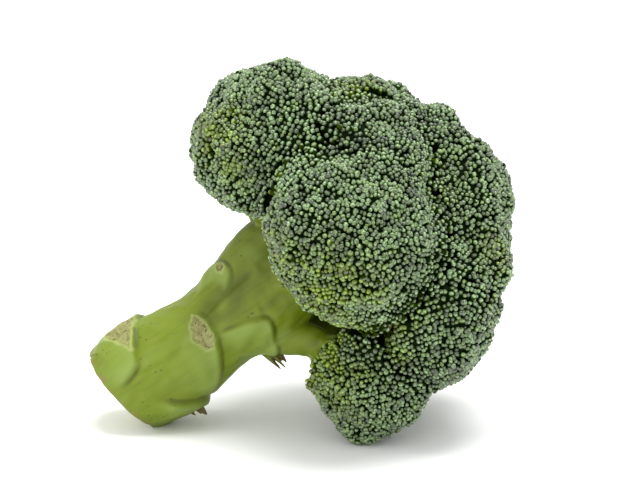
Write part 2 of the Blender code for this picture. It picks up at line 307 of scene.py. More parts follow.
def bent(start, bend, finish, steps):
    """A route that leaves its start towards the bend and comes from the bend to its finish."""
    share = np.linspace(0, 1, steps)[:, None]
    return (1 - share) ** 2 * start + 2 * share * (1 - share) * bend + share**2 * finish


def tube(route, radii, sides):
    """Corners and faces of a closed round tube along a route of points."""
    route = np.asarray(route, float)
    ahead = unit(np.gradient(route, axis=0))
    first = side_axes(ahead[:1])[0][0]
    turns = math.tau * np.arange(sides) / sides
    rings = []
    for point, way, radius in zip(route, ahead, radii):
        first = unit(first - way * (first @ way))
        second = np.cross(way, first)
        rings.append(point + radius * (np.outer(np.cos(turns), first) + np.outer(np.sin(turns), second)))
    corners = np.concatenate([*rings, route[[0, -1]]])
    base = len(route) * sides
    triangles = []
    for k in range(sides):
        after = (k + 1) % sides
        triangles += [(base, after, k), (base + 1, base - sides + k, base - sides + after)]
    return corners, ring_quads(len(route), sides), np.array(triangles)


class Bundle:
    """Gathers several shapes into one list of corners and faces."""

    def __init__(self):
        self.corners, self.quads, self.triangles, self.count = [], [], [], 0

    def add(self, corners, quads=(), triangles=()):
        if len(quads):
            self.quads.append(np.asarray(quads) + self.count)
        if len(triangles):
            self.triangles.append(np.asarray(triangles) + self.count)
        self.corners.append(corners)
        self.count += len(corners)

    def faces(self):
        return [np.concatenate(group) for group in (self.quads, self.triangles) if group]


# ---- Materials ------------------------------------------------------------------------------------


class Nodes:
    """Short calls for building one material's nodes."""

    def __init__(self, name):
        self.material = bpy.data.materials.new(name)
        self.material.use_nodes = True
        self.tree = self.material.node_tree
        self.shader = self.tree.nodes["Principled BSDF"]

    def new(self, kind, **settings):
        node = self.tree.nodes.new(kind)
        for key, value in settings.items():
            setattr(node, key, value)
        return node

    def link(self, source, target):
        self.tree.links.new(source, target)

    def attribute(self, name):
        return self.new("ShaderNodeAttribute", attribute_name=name).outputs["Fac"]

    def noise(self, scale, detail=3.0, vector=None):
        node = self.new("ShaderNodeTexNoise")
        node.inputs["Scale"].default_value = scale
        node.inputs["Detail"].default_value = detail
        if vector is None:
            vector = self.new("ShaderNodeTexCoord").outputs["Object"]
        self.link(vector, node.inputs["Vector"])
        return node.outputs["Fac"]

    def stretched(self, turn, scale):
        """Object coordinates turned about Y and then scaled, for streaks along the stalk."""
        coordinates = self.new("ShaderNodeTexCoord").outputs["Object"]
        turned = self.new("ShaderNodeVectorRotate", rotation_type="Y_AXIS")
        turned.inputs["Angle"].default_value = turn
        self.link(coordinates, turned.inputs["Vector"])
        sized = self.new("ShaderNodeVectorMath", operation="MULTIPLY")
        sized.inputs[1].default_value = scale
        self.link(turned.outputs["Vector"], sized.inputs[0])
        return sized.outputs["Vector"]

    def ramp(self, value, low, high, from_value=0.0, to_value=1.0):
        """A value taken smoothly from one range to another."""
        node = self.new("ShaderNodeMapRange", interpolation_type="SMOOTHSTEP")
        node.inputs["From Min"].default_value = low
        node.inputs["From Max"].default_value = high
        node.inputs["To Min"].default_value = from_value
        node.inputs["To Max"].default_value = to_value
        self.link(value, node.inputs["Value"])
        return node.outputs["Result"]

    def blend(self, share, first, second, mode="MIX"):
        node = self.new("ShaderNodeMix", data_type="RGBA", blend_type=mode)
        sockets = (node.inputs["Factor"], node.inputs[6], node.inputs[7])  # the last two are its colours
        for socket, value in zip(sockets, (share, first, second)):
            if isinstance(value, bpy.types.NodeSocket):
                self.link(value, socket)
            elif isinstance(value, (int, float)):
                socket.default_value = value
            else:
                socket.default_value = (*value, 1)
        return node.outputs[2]

    def math(self, operation, first, second=0.0):
        node = self.new("ShaderNodeMath", operation=operation)
        for socket, value in zip(node.inputs, (first, second)):
            if isinstance(value, bpy.types.NodeSocket):
                self.link(value, socket)
            else:
                socket.default_value = value
        return node.outputs[0]

    def times(self, first, second):
        return self.math("MULTIPLY", first, second)

    def patches(self, scale, detail, low, high, from_value=0.0, to_value=1.0):
        """Soft-edged patches of a noise, between two values."""
        return self.ramp(self.noise(scale, detail), low, high, from_value, to_value)

    def cells(self, scale):
        """Distance from the middle of scattered cells."""
        node = self.new("ShaderNodeTexVoronoi")
        node.inputs["Scale"].default_value = scale
        self.link(self.new("ShaderNodeTexCoord").outputs["Object"], node.inputs["Vector"])
        return node.outputs["Distance"]

    def brightness(self, colour, share):
        """A colour made darker or lighter by a value."""
        node = self.new("ShaderNodeVectorMath", operation="SCALE")
        self.link(colour, node.inputs[0])
        self.link(share, node.inputs["Scale"])
        return node.outputs["Vector"]

    def bump(self, height, distance, strength=1.0):
        node = self.new("ShaderNodeBump")
        node.inputs["Distance"].default_value = distance
        node.inputs["Strength"].default_value = strength
        self.link(height, node.inputs["Height"])
        self.link(node.outputs["Normal"], self.shader.inputs["Normal"])

    def finish(self, colour, roughness=None, specular=0.5):
        self.link(colour, self.shader.inputs["Base Color"])
        if roughness is not None:
            self.link(roughness, self.shader.inputs["Roughness"])
        if specular is not None:
            self.shader.inputs["Specular IOR Level"].default_value = specular
        return self.material


def shaded(colour, share):
    """A colour made darker or lighter by a share."""
    return tuple(share * part for part in colour)


BROWN_BUD = (0.12, 0.09, 0.022)
UNDERSIDE_DARK, UNDERSIDE_PALE = (0.03, 0.055, 0.008), (0.075, 0.11, 0.02)
STREAK_PALE, STREAK_DARK = (0.23, 0.285, 0.045), (0.095, 0.140, 0.004)
SPECK = (0.030, 0.036, 0.008)
SCAR_PALE, SCAR_PIT, SCAR_RIM = (0.30, 0.30, 0.120), (0.060, 0.042, 0.014), (0.34, 0.38, 0.12)
STRAND, RIND = (0.22, 0.27, 0.07), (0.17, 0.22, 0.04)  # the ring of strands in the cut face, and its rind
DRIED_FLESH, DRIED_EDGE = (0.24, 0.18, 0.06), (0.23, 0.16, 0.05)
TORN_FRESH, TORN_DRY = (0.17, 0.22, 0.03), (0.17, 0.115, 0.040)
BRACT_FRESH, BRACT_DRY = (0.30, 0.36, 0.06), (0.26, 0.22, 0.05)


def bud_material(buds):
    """Grey-green wax and a painted highlight on the tips, dark painted shade on the sides, yellow-green young
    buds and a few that have gone brown.
    """
    nodes = Nodes("flower_buds")
    up = nodes.attribute("bud_up")
    speckle = nodes.noise(1400, 2)
    # Painted light: a ring of pale wax and painted highlight round each bud's upper shoulders, darker again
    # at the very tip, and dark painted shade on the lower sides.
    wax_and_highlight_rise = nodes.ramp(nodes.math("ADD", up, nodes.times(speckle, 0.16)), 0.62, 0.99)
    waxy = nodes.times(wax_and_highlight_rise, nodes.ramp(up, 0.84, 0.98, 1, 0.22))
    green = nodes.blend(waxy, buds.side, buds.tip)
    # Young buds get the same painted shade: their lower sides fall to a quarter of their colour.
    fresh = nodes.blend(waxy, shaded(buds.young, 0.25), buds.young)
    colour = nodes.blend(nodes.attribute("bud_young"), green, fresh)
    colour = nodes.blend(nodes.times(nodes.attribute("bud_brown"), 0.8), colour, BROWN_BUD)
    colour = nodes.brightness(colour, nodes.ramp(nodes.attribute("bud_tone"), 0, 1, 0.30, 1.42))
    nodes.bump(speckle, 0.00008, 0.7)
    nodes.link(nodes.ramp(up, 0.55, 0.90), nodes.shader.inputs["Specular IOR Level"])
    return nodes.finish(colour, nodes.ramp(speckle, 0.3, 0.7, 0.22, 0.36), None)


def under_bud_material(buds):
    """Dark painted shade on the bed in the gaps between buds, and the paler fine stalks on the underside."""
    nodes = Nodes("bud_bed")
    mottle = nodes.noise(420, 3)
    fine = nodes.ramp(mottle, 0.3, 0.7)
    # Painted shade: the bed between buds is near black, a little lighter in a fine mottle.
    dark = nodes.blend(fine, buds.deep, shaded(buds.deep, 1.8))
    light = nodes.blend(fine, UNDERSIDE_DARK, UNDERSIDE_PALE)
    nodes.bump(mottle, 0.0006, 0.8)
    colour = nodes.blend(nodes.attribute("underside"), dark, light)
    return nodes.finish(colour, nodes.ramp(mottle, 0.3, 0.7, 0.75, 0.95), 0.08)


def lengthwise(nodes, scale, detail, stretch):
    """Noise drawn out along the stalk."""
    return nodes.noise(scale, detail, nodes.stretched(HEAD.slope - math.pi / 2, (1.0, 1.0, stretch)))


def skin_colour(nodes, stalk, streak):
    """Green skin with lengthwise streaks, wax, pale leaf cushions, painted shade in creases and under the
    crown, and small specks.
    """
    skin = nodes.blend(nodes.patches(38, 3, 0.32, 0.68), shaded(stalk.skin, 0.86), stalk.skin)
    skin = nodes.blend(nodes.times(nodes.ramp(streak, 0.46, 0.66), 0.20), skin, STREAK_PALE)
    skin = nodes.blend(nodes.times(nodes.ramp(streak, 0.52, 0.34), 0.24), skin, STREAK_DARK)
    waxy = nodes.ramp(lengthwise(nodes, 55, 3, 0.35), 0.50, 0.66)
    skin = nodes.blend(nodes.times(waxy, 0.30), skin, stalk.bloom)
    # Painted shade under the crown: the skin there is darkened towards the crease colour.
    skin = nodes.blend(nodes.attribute("under_crown"), skin, nodes.blend(0.38, skin, stalk.shade))
    skin = nodes.blend(nodes.attribute("cushion"), skin, stalk.bloom)
    # Painted shade in creases, grooves and the hollow between branches.
    skin = nodes.blend(nodes.attribute("crease"), skin, stalk.shade)
    specks = nodes.times(nodes.ramp(nodes.cells(330), 0.08, 0.20, 1, 0), nodes.patches(70, 2, 0.50, 0.58))
    return nodes.blend(nodes.times(specks, 0.75), skin, SPECK)


def scar_colour(nodes, stalk, dry):
    """Dry corky tissue with dark pits in loose groups."""
    colour = nodes.blend(nodes.ramp(dry, 0.40, 0.60), stalk.scar, SCAR_PALE)
    pits = nodes.times(nodes.patches(900, 3, 0.54, 0.62), nodes.patches(230, 2, 0.42, 0.56, 0.15, 1))
    return nodes.blend(pits, colour, SCAR_PIT)


def flesh_colour(nodes, stalk):
    """Pale wet flesh with a ring of strands inside its rind, dried tan in places."""
    share = nodes.attribute("cut_share")
    flesh = nodes.blend(nodes.patches(260, 4, 0.35, 0.65), shaded(stalk.flesh, 0.82), stalk.flesh)
    ring = nodes.times(nodes.ramp(share, 0.70, 0.76), nodes.ramp(share, 0.86, 0.80))
    strands = nodes.times(ring, nodes.ramp(nodes.cells(520), 0.35, 0.6, 1, 0.25))
    flesh = nodes.blend(strands, flesh, STRAND)
    flesh = nodes.blend(nodes.ramp(share, 0.90, 0.96), flesh, RIND)
    return nodes.blend(nodes.times(nodes.patches(120, 3, 0.56, 0.70), 0.65), flesh, DRIED_FLESH)


def stalk_material(stalk):
    """Waxy skin with dry leaf scars, and the cut face at its end."""
    nodes = Nodes("stalk_skin")
    scar = nodes.attribute("scar")
    streak = lengthwise(nodes, 420, 4, 0.06)
    dry = nodes.noise(480, 5)
    colour = nodes.blend(scar, skin_colour(nodes, stalk, streak), scar_colour(nodes, stalk, dry))
    colour = nodes.blend(nodes.attribute("scar_rim"), colour, SCAR_RIM)
    dried = nodes.times(nodes.attribute("cut_edge"), nodes.patches(210, 3, 0.40, 0.62, 0.15, 0.9))
    colour = nodes.blend(dried, colour, DRIED_EDGE)
    colour = nodes.blend(nodes.attribute("cut"), colour, flesh_colour(nodes, stalk))

    roughness = nodes.ramp(nodes.math("ADD", streak, nodes.times(scar, 0.6)), 0.3, 1.1, 0.40, 0.78)
    height = nodes.math("ADD", nodes.times(streak, 0.6), nodes.times(nodes.noise(1500, 2), 0.15))
    height = nodes.math("ADD", height, nodes.times(nodes.times(scar, dry), 1.6))
    nodes.bump(height, 0.00022, 0.55)
    nodes.shader.inputs["Subsurface Weight"].default_value = 0.25
    nodes.shader.inputs["Subsurface Radius"].default_value = (0.004, 0.005, 0.001)
    return nodes.finish(colour, roughness, 0.30)


def leaf_material(name, fresh, dry):
    """Thin leaf tissue that is green at its root and dry at its torn edge."""
    nodes = Nodes(name)
    mottle = nodes.noise(700, 4)
    edge = nodes.ramp(nodes.math("ADD", nodes.attribute("dryness"), nodes.times(mottle, 0.5)), 0.65, 1.15)
    green = nodes.blend(nodes.ramp(mottle, 0.35, 0.65), shaded(fresh, 0.75), fresh)
    brown = nodes.blend(nodes.ramp(mottle, 0.4, 0.6), shaded(dry, 0.55), dry)
    nodes.bump(mottle, 0.0003, 0.8)
    return nodes.finish(nodes.blend(edge, green, brown), nodes.ramp(mottle, 0.3, 0.7, 0.5, 0.8), 0.35)


# ---- Florets --------------------------------------------------------------------------------------

BUD_SIDES = 8
BUD_STALK_SIDES = 5
BUD_PROFILE = (  # height and radius of a bud's rings, in shares of its length and half width
    (0.10, 0.58),
    (0.46, 0.99),
    (0.70, 0.93),
    (0.87, 0.65),
    (0.96, 0.32),
)
BUD_DIMPLE = 0.95  # height of the tip, which sinks a little between the sepals
BUD_CREASE = 0.20  # how deep the four seams between the sepals run, as a share of the radius
EDGE_TURN = math.radians(112)  # how far round from its heading a floret carries buds
FRONT_WRAP = {"upper_left": 56, "lower": 44, "front": 12, "back_left": 15}  # degrees further at the front
YOUNG_FROM = math.radians(74)  # where the yellow-green buds of the edge begin
BED_DEPTH = 2.5 * MM  # how far the bed under the buds lies below their tips
FINE_DOME = 5.6 * MM  # spacing of the smallest tufts of buds
FINE_RISE = 0.45 * MM
VALLEY_FILL = 4.8 * MM  # how softly neighbouring florets run together
CREASE_TUFTS = (  # small tufts that fill the deepest creases: place in the head's frame, radius
    ((-39, -27, 130), 15),
    ((14, -33, 143), 16),
    ((30, -34, 134), 15),
    ((36, -36, 118), 14),
    ((-33, 27, 131), 14),
    ((20, 34, 140), 15),
)
FILL_GRAIN = 0.38  # spacing of the places tried for more buds, as a share of the bud spacing
FILL_ROOM = 0.78  # how far from its neighbours such a bud has to be, as a share of the bud spacing
PACKING = 0.87  # the area that one of many even places takes, as a share of their spacing squared
FLORET_MARKS = ("bud_up", "bud_tone", "bud_young", "bud_brown", "underside")
BROWN_SHARE = 0.0012  # how many buds have gone brown
BUD_FLOOR = 0.05 * MM  # lowest that a bud's corner, a bud's tip and the bed lie above the table
TIP_FLOOR = 0.15 * MM
BED_FLOOR = 0.4 * MM
BED_RINGS, BED_SIDES = 44, 84
BED_MAP = 0.16  # side of the bed's corner of the map, as a share of the whole map
LOBE = 25 * MM  # spacing of the broad lobes on a floret, and their height
LOBE_RISE = 1.9 * MM
LUMP = 30 * MM  # size of the broad unevenness of the crown, and its height
LUMP_RISE = 0.9 * MM
SWELLS = (  # broad places where the crown stands out or draws in: place in the head's frame, size, rise
    ((-77, -12, 132), 14, 1.8),
    ((-82, -6, 110), 14, -3.2),
    ((-62, -6, 85), 12, 1.8),
    ((-32, -8, 88), 9, -2.2),
    ((-40, -22, 88), 9, -1.5),
    ((-48, 1, 159), 12, 1.8),
    ((45, -25, 162), 11, 2.4),
    ((57, -38, 143), 13, -2.2),
    ((55, -28, 67), 13, -3.4),
    ((36, -28, 71), 9, 1.8),
    ((58, -42, 76), 12, -2.6),
    ((68, -34, 104), 13, -2.4),
    ((32, -38, 76), 9, 1.6),
    ((-70, -26, 92), 9, 1.2),
)
YOUNG_PATCHES = (  # where the buds are still yellow-green: place in the head's frame, size, share
    ((-72, -26, 99), 12, 1.00),
    ((-60, -32, 96), 10, 0.75),
    ((-78, -16, 92), 10, 0.80),
    ((-2, -74, 109), 14, 0.95),
    ((4, -68, 99), 12, 0.95),
    ((-20, -66, 96), 10, 0.85),
    ((10, -72, 116), 10, 0.65),
    ((-14, -71, 102), 9, 0.65),
    ((-49, -3, 150), 8, 0.65),
    ((33, -33, 166), 8, 0.60),
    ((31, -39, 80), 15, 1.00),
    ((38, -42, 92), 10, 0.60),
    ((44, -46, 76), 11, 0.70),
    ((-52, -6, 156), 9, 0.75),
    ((-30, 62, 110), 11, 0.60),
    ((50, 48, 122), 10, 0.60),
    ((66, 8, 100), 10, 0.55),
    ((2, 40, 166), 9, 0.50),
)


def bud_form():
    """Corners, faces and heights of one bud: a blunt egg with four shallow seams."""
    corners, ups = [], []
    for height, radius in BUD_PROFILE:
        for k in range(BUD_SIDES):
            turn = math.tau * k / BUD_SIDES
            seam = 1 - BUD_CREASE * (k % 2) * height**2
            corners.append((radius * seam * math.cos(turn), radius * seam * math.sin(turn), height))
            ups.append(height)
    corners.append((0, 0, BUD_DIMPLE))
    ups.append(1)
    tip = len(corners) - 1
    low = tip - BUD_SIDES
    triangles = [(low + k, low + (k + 1) % BUD_SIDES, tip) for k in range(BUD_SIDES)]
    return np.array(corners), ring_quads(len(BUD_PROFILE), BUD_SIDES), np.array(triangles), np.array(ups)


def nearest_domes(directions, centres):
    """For each direction, the nearest of the given centre directions and the angle to it."""
    closeness = directions @ centres.T
    nearest = closeness.argmax(axis=1)
    return nearest, np.arccos(np.clip(closeness[np.arange(len(directions)), nearest], -1, 1))


def tuft_centres(radius, spacing, seed):
    """Directions of the small domes on a floret, evenly spread and a little disturbed."""
    rng = np.random.default_rng(seed)
    count = max(12, int(4 * math.pi * radius**2 / (PACKING * spacing**2)))
    directions = spiral_directions(count)
    return unit(directions + rng.normal(scale=0.22 * spacing / radius, size=(count, 3)))


class Surface:
    """The outer surface of one floret: its dome with small domes on it, and tufts on those."""

    def __init__(self, floret, buds):
        self.floret = floret
        self.buds = buds
        self.frame = turned_to(floret.heading)
        seed = 100 + floret.number
        self.domes = tuft_centres(floret.radius, buds.cluster, seed) @ self.frame.T
        self.tufts = tuft_centres(floret.radius, FINE_DOME, seed + 50) @ self.frame.T
        self.lobes = tuft_centres(floret.radius, LOBE, seed + 90) @ self.frame.T
        rng = np.random.default_rng(seed + 7)
        self.lift = rng.uniform(-0.5, 0.5, len(self.domes)) * MM
        self.dome_tone = rng.uniform(-1, 1, len(self.domes))

    def turn_at(self, directions):
        """How far round from the heading each direction lies, less where buds wrap under the front."""
        turn = np.arccos(np.clip(directions @ self.floret.heading, -1, 1))
        facing = smooth(-0.3, 0.55, -directions[:, 1])
        return turn - facing * math.radians(FRONT_WRAP.get(self.floret.name, 0))

    def radius_at(self, directions):
        """Distance of the surface from the dome's centre along each direction."""
        radius = self.floret.radius
        which, turn = nearest_domes(directions, self.domes)
        rise = self.buds.cluster_rise * dome(turn * radius / (0.68 * self.buds.cluster)) + self.lift[which]
        _, small = nearest_domes(directions, self.tufts)
        fine = FINE_RISE * (1 - np.minimum(small * radius / (0.62 * FINE_DOME), 1.2) ** 2)
        _, broad = nearest_domes(directions, self.lobes)
        lobe = LOBE_RISE * dome(broad * radius / (0.66 * LOBE))
        points = self.floret.centre + directions * radius
        lump = LUMP_RISE * waves(points, LUMP, seed=61)
        for place_at, size, height in SWELLS:
            lump = lump + height * MM * nearness(points, place_at, size)
        level = self.joined_radius(directions) - 0.75 * self.buds.cluster_rise - 0.6 * LOBE_RISE
        return level + rise + fine + lobe + lump

    def joined_radius(self, directions):
        """Distance of the crown's even surface, where neighbouring domes run softly together."""
        tufts = np.array([place_at for place_at, _ in CREASE_TUFTS]) * MM
        centres = np.concatenate([[floret.centre for floret in FLORETS], HEAD.to_world(tufts)])
        radii = np.array([floret.radius for floret in FLORETS] + [size * MM for _, size in CREASE_TUFTS])
        low = np.full(len(directions), self.floret.radius - 0.5 * MM)
        high = low + 3 * VALLEY_FILL
        for _ in range(14):
            middle = (low + high) / 2
            points = self.floret.centre + directions * middle[:, None]
            gaps = np.linalg.norm(points[:, None, :] - centres[None], axis=2) - radii
            joined = -VALLEY_FILL * np.log(np.exp(-gaps / VALLEY_FILL).sum(axis=1))
            outside = joined > 0
            high = np.where(outside, middle, high)
            low = np.where(outside, low, middle)
        fade = smooth(EDGE_TURN + 0.15, EDGE_TURN - 0.35, self.turn_at(directions))
        return self.floret.radius + (low - self.floret.radius) * fade

    def lean_at(self, directions):
        """The way a bud points there: out of its small dome more than out of the floret."""
        half = 0.62 * self.buds.cluster
        which, turn = nearest_domes(directions, self.domes)
        away = unit(directions - self.domes[which])
        slope = 2 * self.buds.cluster_rise * np.minimum(turn * self.floret.radius, half) / half**2
        return unit(directions + away * (slope * 0.75)[:, None])

    def edge_at(self, directions):
        """The turn of each direction with an uneven edge."""
        points = directions * self.floret.radius
        return self.turn_at(directions) + 0.07 * waves(points, 14 * MM, seed=900 + self.floret.number)


def own_share(points, floret):
    """How far each point lies inside the floret's own part of the crown, in metres."""
    mine = ((points - floret.centre) ** 2).sum(axis=1) - floret.radius**2
    margin = np.full(len(points), np.inf)
    for other in FLORETS:
        if other is floret:
            continue
        distance = np.linalg.norm(other.centre - floret.centre)
        theirs = ((points - other.centre) ** 2).sum(axis=1) - other.radius**2
        margin = np.minimum(margin, (theirs - mine) / (2 * distance))
    return margin


def candidates(surface, spacing, jitter, margin):
    """Directions and tips evenly spread over one floret's own part of the crown."""
    floret = surface.floret
    rng = np.random.default_rng(300 + floret.number + int(spacing / MM * 1000))
    count = int(4 * math.pi * (floret.radius + 1.5 * MM) ** 2 / (PACKING * spacing**2))
    directions = spiral_directions(count) @ surface.frame.T
    directions = unit(directions + rng.normal(scale=jitter * spacing / floret.radius, size=(count, 3)))
    turn = surface.edge_at(directions)
    near = turn < EDGE_TURN
    directions, turn = directions[near], turn[near]
    tips = floret.centre + directions * surface.radius_at(directions)[:, None]
    kept = own_share(tips, floret) > margin
    return directions[kept], tips[kept], turn[kept]


def bud_places(surfaces, buds):
    """Where the buds of each floret sit: an even spiral, and more where the surface is stretched."""
    first = [candidates(surface, buds.spacing, 0.11, -0.25 * buds.spacing) for surface in surfaces]
    more = [candidates(surface, FILL_GRAIN * buds.spacing, 0.2, -0.6 * buds.spacing) for surface in surfaces]
    groups = first + more
    tips = np.concatenate([group[1] for group in groups])
    tree = KDTree(len(tips))
    for k, tip in enumerate(tips.tolist()):
        tree.insert(tip, k)
    tree.balance()
    settled = sum(len(group[1]) for group in first)
    taken = np.arange(len(tips)) < settled
    for k in range(settled, len(tips)):
        near = tree.find_range(tips[k], FILL_ROOM * buds.spacing)
        taken[k] = not any(taken[other] for _, other, _ in near)
    ends = np.cumsum([len(group[1]) for group in groups])
    flags = np.split(taken, ends[:-1])
    places = []
    for k in range(len(surfaces)):
        added = flags[len(surfaces) + k]
        places.append([np.concatenate([a, b[added]]) for a, b in zip(first[k], more[k])])
    return places


class BudSpots:
    """How every bud of one floret sits and points, and what it looks like."""

    def __init__(self, surface, buds, places):
        rng = np.random.default_rng(300 + surface.floret.number)
        directions, self.tips, self.turn = places
        number = len(self.tips)
        self.lean = unit(surface.lean_at(directions) + rng.normal(scale=0.27, size=(number, 3)))
        self.size = np.clip(rng.normal(1.0, 0.15, number), 0.66, 1.4)
        self.oval = rng.uniform(0.72, 1.0, number)
        which, _ = nearest_domes(directions, surface.domes)
        self.tone = np.clip(0.5 + rng.normal(0, 0.24, number) + 0.14 * surface.dome_tone[which], 0, 1)
        self.spin = rng.uniform(0, math.tau, number)
        self.tips = self.tips + self.lean * rng.normal(0, 0.24 * MM, number)[:, None]
        keep_above_table(self.tips, TIP_FLOOR)
        self.young = self.youth(rng)
        self.brown = (rng.uniform(0, 1, number) < BROWN_SHARE).astype(float)

    def youth(self, rng):
        """Yellow-green towards the lower edge of a floret, and in a few loose patches elsewhere."""
        edge = smooth(YOUNG_FROM, EDGE_TURN, self.turn)
        patch = np.zeros(len(self.tips))
        for place_at, size, share in YOUNG_PATCHES:
            patch = np.maximum(patch, share * nearness(self.tips, place_at, size))
        stray = rng.uniform(0, 1, len(self.tips)) ** 3
        mottle = np.clip(0.5 + 0.5 * waves(self.tips, 8 * MM, seed=43), 0, 1)
        return np.clip((0.60 * edge + patch) * (0.35 + mottle) + 0.4 * stray, 0, 1)


def buds_of(spots, buds, bundle, layers):
    """Adds every bud of one floret to the bundle."""
    form, quads, triangles, ups = bud_form()
    first, second = side_axes(spots.lean)
    cosine, sine = np.cos(spots.spin)[:, None], np.sin(spots.spin)[:, None]
    across = first * cosine + second * sine
    along = second * cosine - first * sine
    half_width = (0.5 * buds.width * spots.size)[:, None, None]
    length = (buds.length * (0.7 + 0.3 * spots.size))[:, None, None]
    feet = spots.tips - spots.lean * length[:, :, 0]
    corners = feet[:, None, :] + half_width * (
        form[None, :, 0:1] * across[:, None, :]
        + form[None, :, 1:2] * along[:, None, :] * spots.oval[:, None, None]
    )
    corners = corners + length * form[None, :, 2:3] * spots.lean[:, None, :]
    keep_above_table(corners, BUD_FLOOR)
    number, per_bud = len(spots.tips), len(form)
    offsets = np.arange(number)[:, None, None] * per_bud
    bundle.add(
        corners.reshape(-1, 3),
        (quads[None] + offsets).reshape(-1, 4),
        (triangles[None] + offsets).reshape(-1, 3),
    )
    looks = [np.repeat(values, per_bud) for values in (spots.tone, spots.young, spots.brown)]
    layers.append((np.tile(ups, number), *looks, np.zeros(number * per_bud)))


def bud_stalks(floret, spots, buds, bundle, layers):
    """Adds the fine stalks that show under the buds at the lower edge of a floret."""
    shown = np.nonzero(spots.turn > math.radians(80))[0]
    for k in shown:
        tip = spots.tips[k] - spots.lean[k] * 0.6 * buds.length
        inward = unit(floret.neck - tip)
        low = tip + inward * 5.5 * MM - spots.lean[k] * 1.2 * MM
        route = np.array([low, (low + tip) / 2 - spots.lean[k] * 0.35 * MM, tip])
        corners, quads, triangles = tube(route, (0.75 * MM, 0.6 * MM, 0.72 * MM), BUD_STALK_SIDES)
        keep_above_table(corners, BUD_FLOOR)
        bundle.add(corners, quads, triangles)
        levels = np.concatenate([np.repeat([0.30, 0.30, 0.45], BUD_STALK_SIDES), [0.3, 0.45]])
        looks = (spots.tone[k], 0.55 + 0.45 * spots.young[k], 0, 0)
        layers.append((levels, *(np.full(len(corners), value) for value in looks)))
    return len(shown)


def bed_of(surface):
    """Corners, faces and underside share of the closed bed that the buds stand on, and its map places."""
    floret = surface.floret
    rings, sides = BED_RINGS, BED_SIDES
    neck = np.linalg.norm(floret.centre - floret.neck)
    levels = []
    for k in range(rings + 1):
        turn = math.pi * k / rings
        around = math.tau * (np.arange(sides) + 0.5 * (k % 2)) / sides
        wide, high = math.sin(turn), np.full(sides, math.cos(turn))
        levels.append(np.column_stack([wide * np.cos(around), wide * np.sin(around), high]) @ surface.frame.T)
    directions = np.concatenate([levels[0][:1], *levels[1:-1], levels[-1][:1]])
    reach = surface.radius_at(directions)
    beyond = smooth(0.5 * MM, -1.5 * MM, own_share(floret.centre + directions * reach[:, None], floret))
    reach = reach + (np.minimum(reach, floret.radius - 2 * MM) - reach) * beyond - BED_DEPTH
    turn = surface.turn_at(directions)
    under = smooth(EDGE_TURN - 0.12, math.pi * 0.86, turn)
    past_edge = np.clip((turn - EDGE_TURN) / (math.pi - EDGE_TURN), 0, 1)
    hollow = 0.10 * floret.radius * np.sin(past_edge * math.pi)
    reach = reach * (1 - under) + under * min(neck, 0.97 * floret.radius) - hollow
    corners = floret.centre + directions * reach[:, None]
    keep_above_table(corners, BED_FLOOR)
    quads = 1 + ring_quads(rings - 1, sides)[:, (0, 3, 2, 1)]
    last = len(directions) - 1
    triangles = []
    for k in range(sides):
        after = (k + 1) % sides
        triangles += [(0, 1 + k, 1 + after), (last, last - sides + after, last - sides + k)]
    share = np.concatenate([[0], np.repeat(np.arange(1, rings), sides) / rings, [1]])
    around = np.concatenate([[0], np.tile(math.tau * np.arange(sides) / sides, rings - 1), [0]])
    flat = 0.5 + 0.48 * np.column_stack([share * np.cos(around), share * np.sin(around)])
    underside = smooth(EDGE_TURN - 0.15, EDGE_TURN + 0.15, turn)
    return corners, quads, np.array(triangles), underside, flat


def round_flat(rings, sides, ends):
    """Map places of one bud or stalk, in a unit cell: its rings one inside the other."""
    turns = math.tau * np.arange(sides) / sides
    radii = np.repeat(0.46 * (1 - np.arange(rings) / (rings + 0.4)), sides)
    flat = np.column_stack([radii * np.cos(np.tile(turns, rings)), radii * np.sin(np.tile(turns, rings))])
    return 0.5 + np.concatenate([flat, np.zeros((ends, 2))])


def in_cells(bud_count, stalk_count, bed_flat):
    """Map places for a whole floret: the bed in one corner and every bud and stalk in a cell of its own."""
    grid = math.ceil(math.sqrt((bud_count + stalk_count) / (1 - 1.3 * BED_MAP**2))) + 1
    cells = np.array([(k % grid, k // grid) for k in range(grid * grid)])
    bed_cells = math.ceil(BED_MAP * grid)
    cells = cells[(cells >= bed_cells).any(axis=1)][: bud_count + stalk_count]
    bud = round_flat(len(BUD_PROFILE), BUD_SIDES, 1)
    stalk = round_flat(3, BUD_STALK_SIDES, 2)
    buds = (cells[:bud_count, None, :] + bud[None]).reshape(-1, 2) / grid
    stalks = (cells[bud_count:, None, :] + stalk[None]).reshape(-1, 2) / grid
    return np.concatenate([buds, stalks, bed_flat * BED_MAP])


def grow_floret(surface, buds, places, materials):
    """Makes one floret's piece: all its buds, their fine stalks and the bed, with a map place for each."""
    bundle = Bundle()
    layers = []
    spots = BudSpots(surface, buds, places)
    buds_of(spots, buds, bundle, layers)
    stalk_count = bud_stalks(surface.floret, spots, buds, bundle, layers)
    bed_from = bundle.count
    corners, quads, triangles, underside, bed_flat = bed_of(surface)
    layers.append((*np.zeros((4, len(corners))), underside))
    bundle.add(corners, quads, triangles)
    marks = {name: np.concatenate(values) for name, values in zip(FLORET_MARKS, zip(*layers))}
    flat = in_cells(len(spots.tips), stalk_count, bed_flat)
    name = surface.floret.name + "_buds"
    mesh = mesh_from(name, np.concatenate(bundle.corners), bundle.faces(), marks, flat=flat)
    place(mesh, materials, [surface.floret.node])
    loops = numbers_of(mesh.loops, "vertex_index", kind=np.int32)
    starts = numbers_of(mesh.polygons, "loop_start", kind=np.int32)
    mesh.polygons.foreach_set("material_index", (loops[starts] >= bed_from).astype(np.int32))


# ---- Stalk ----------------------------------------------------------------------------------------

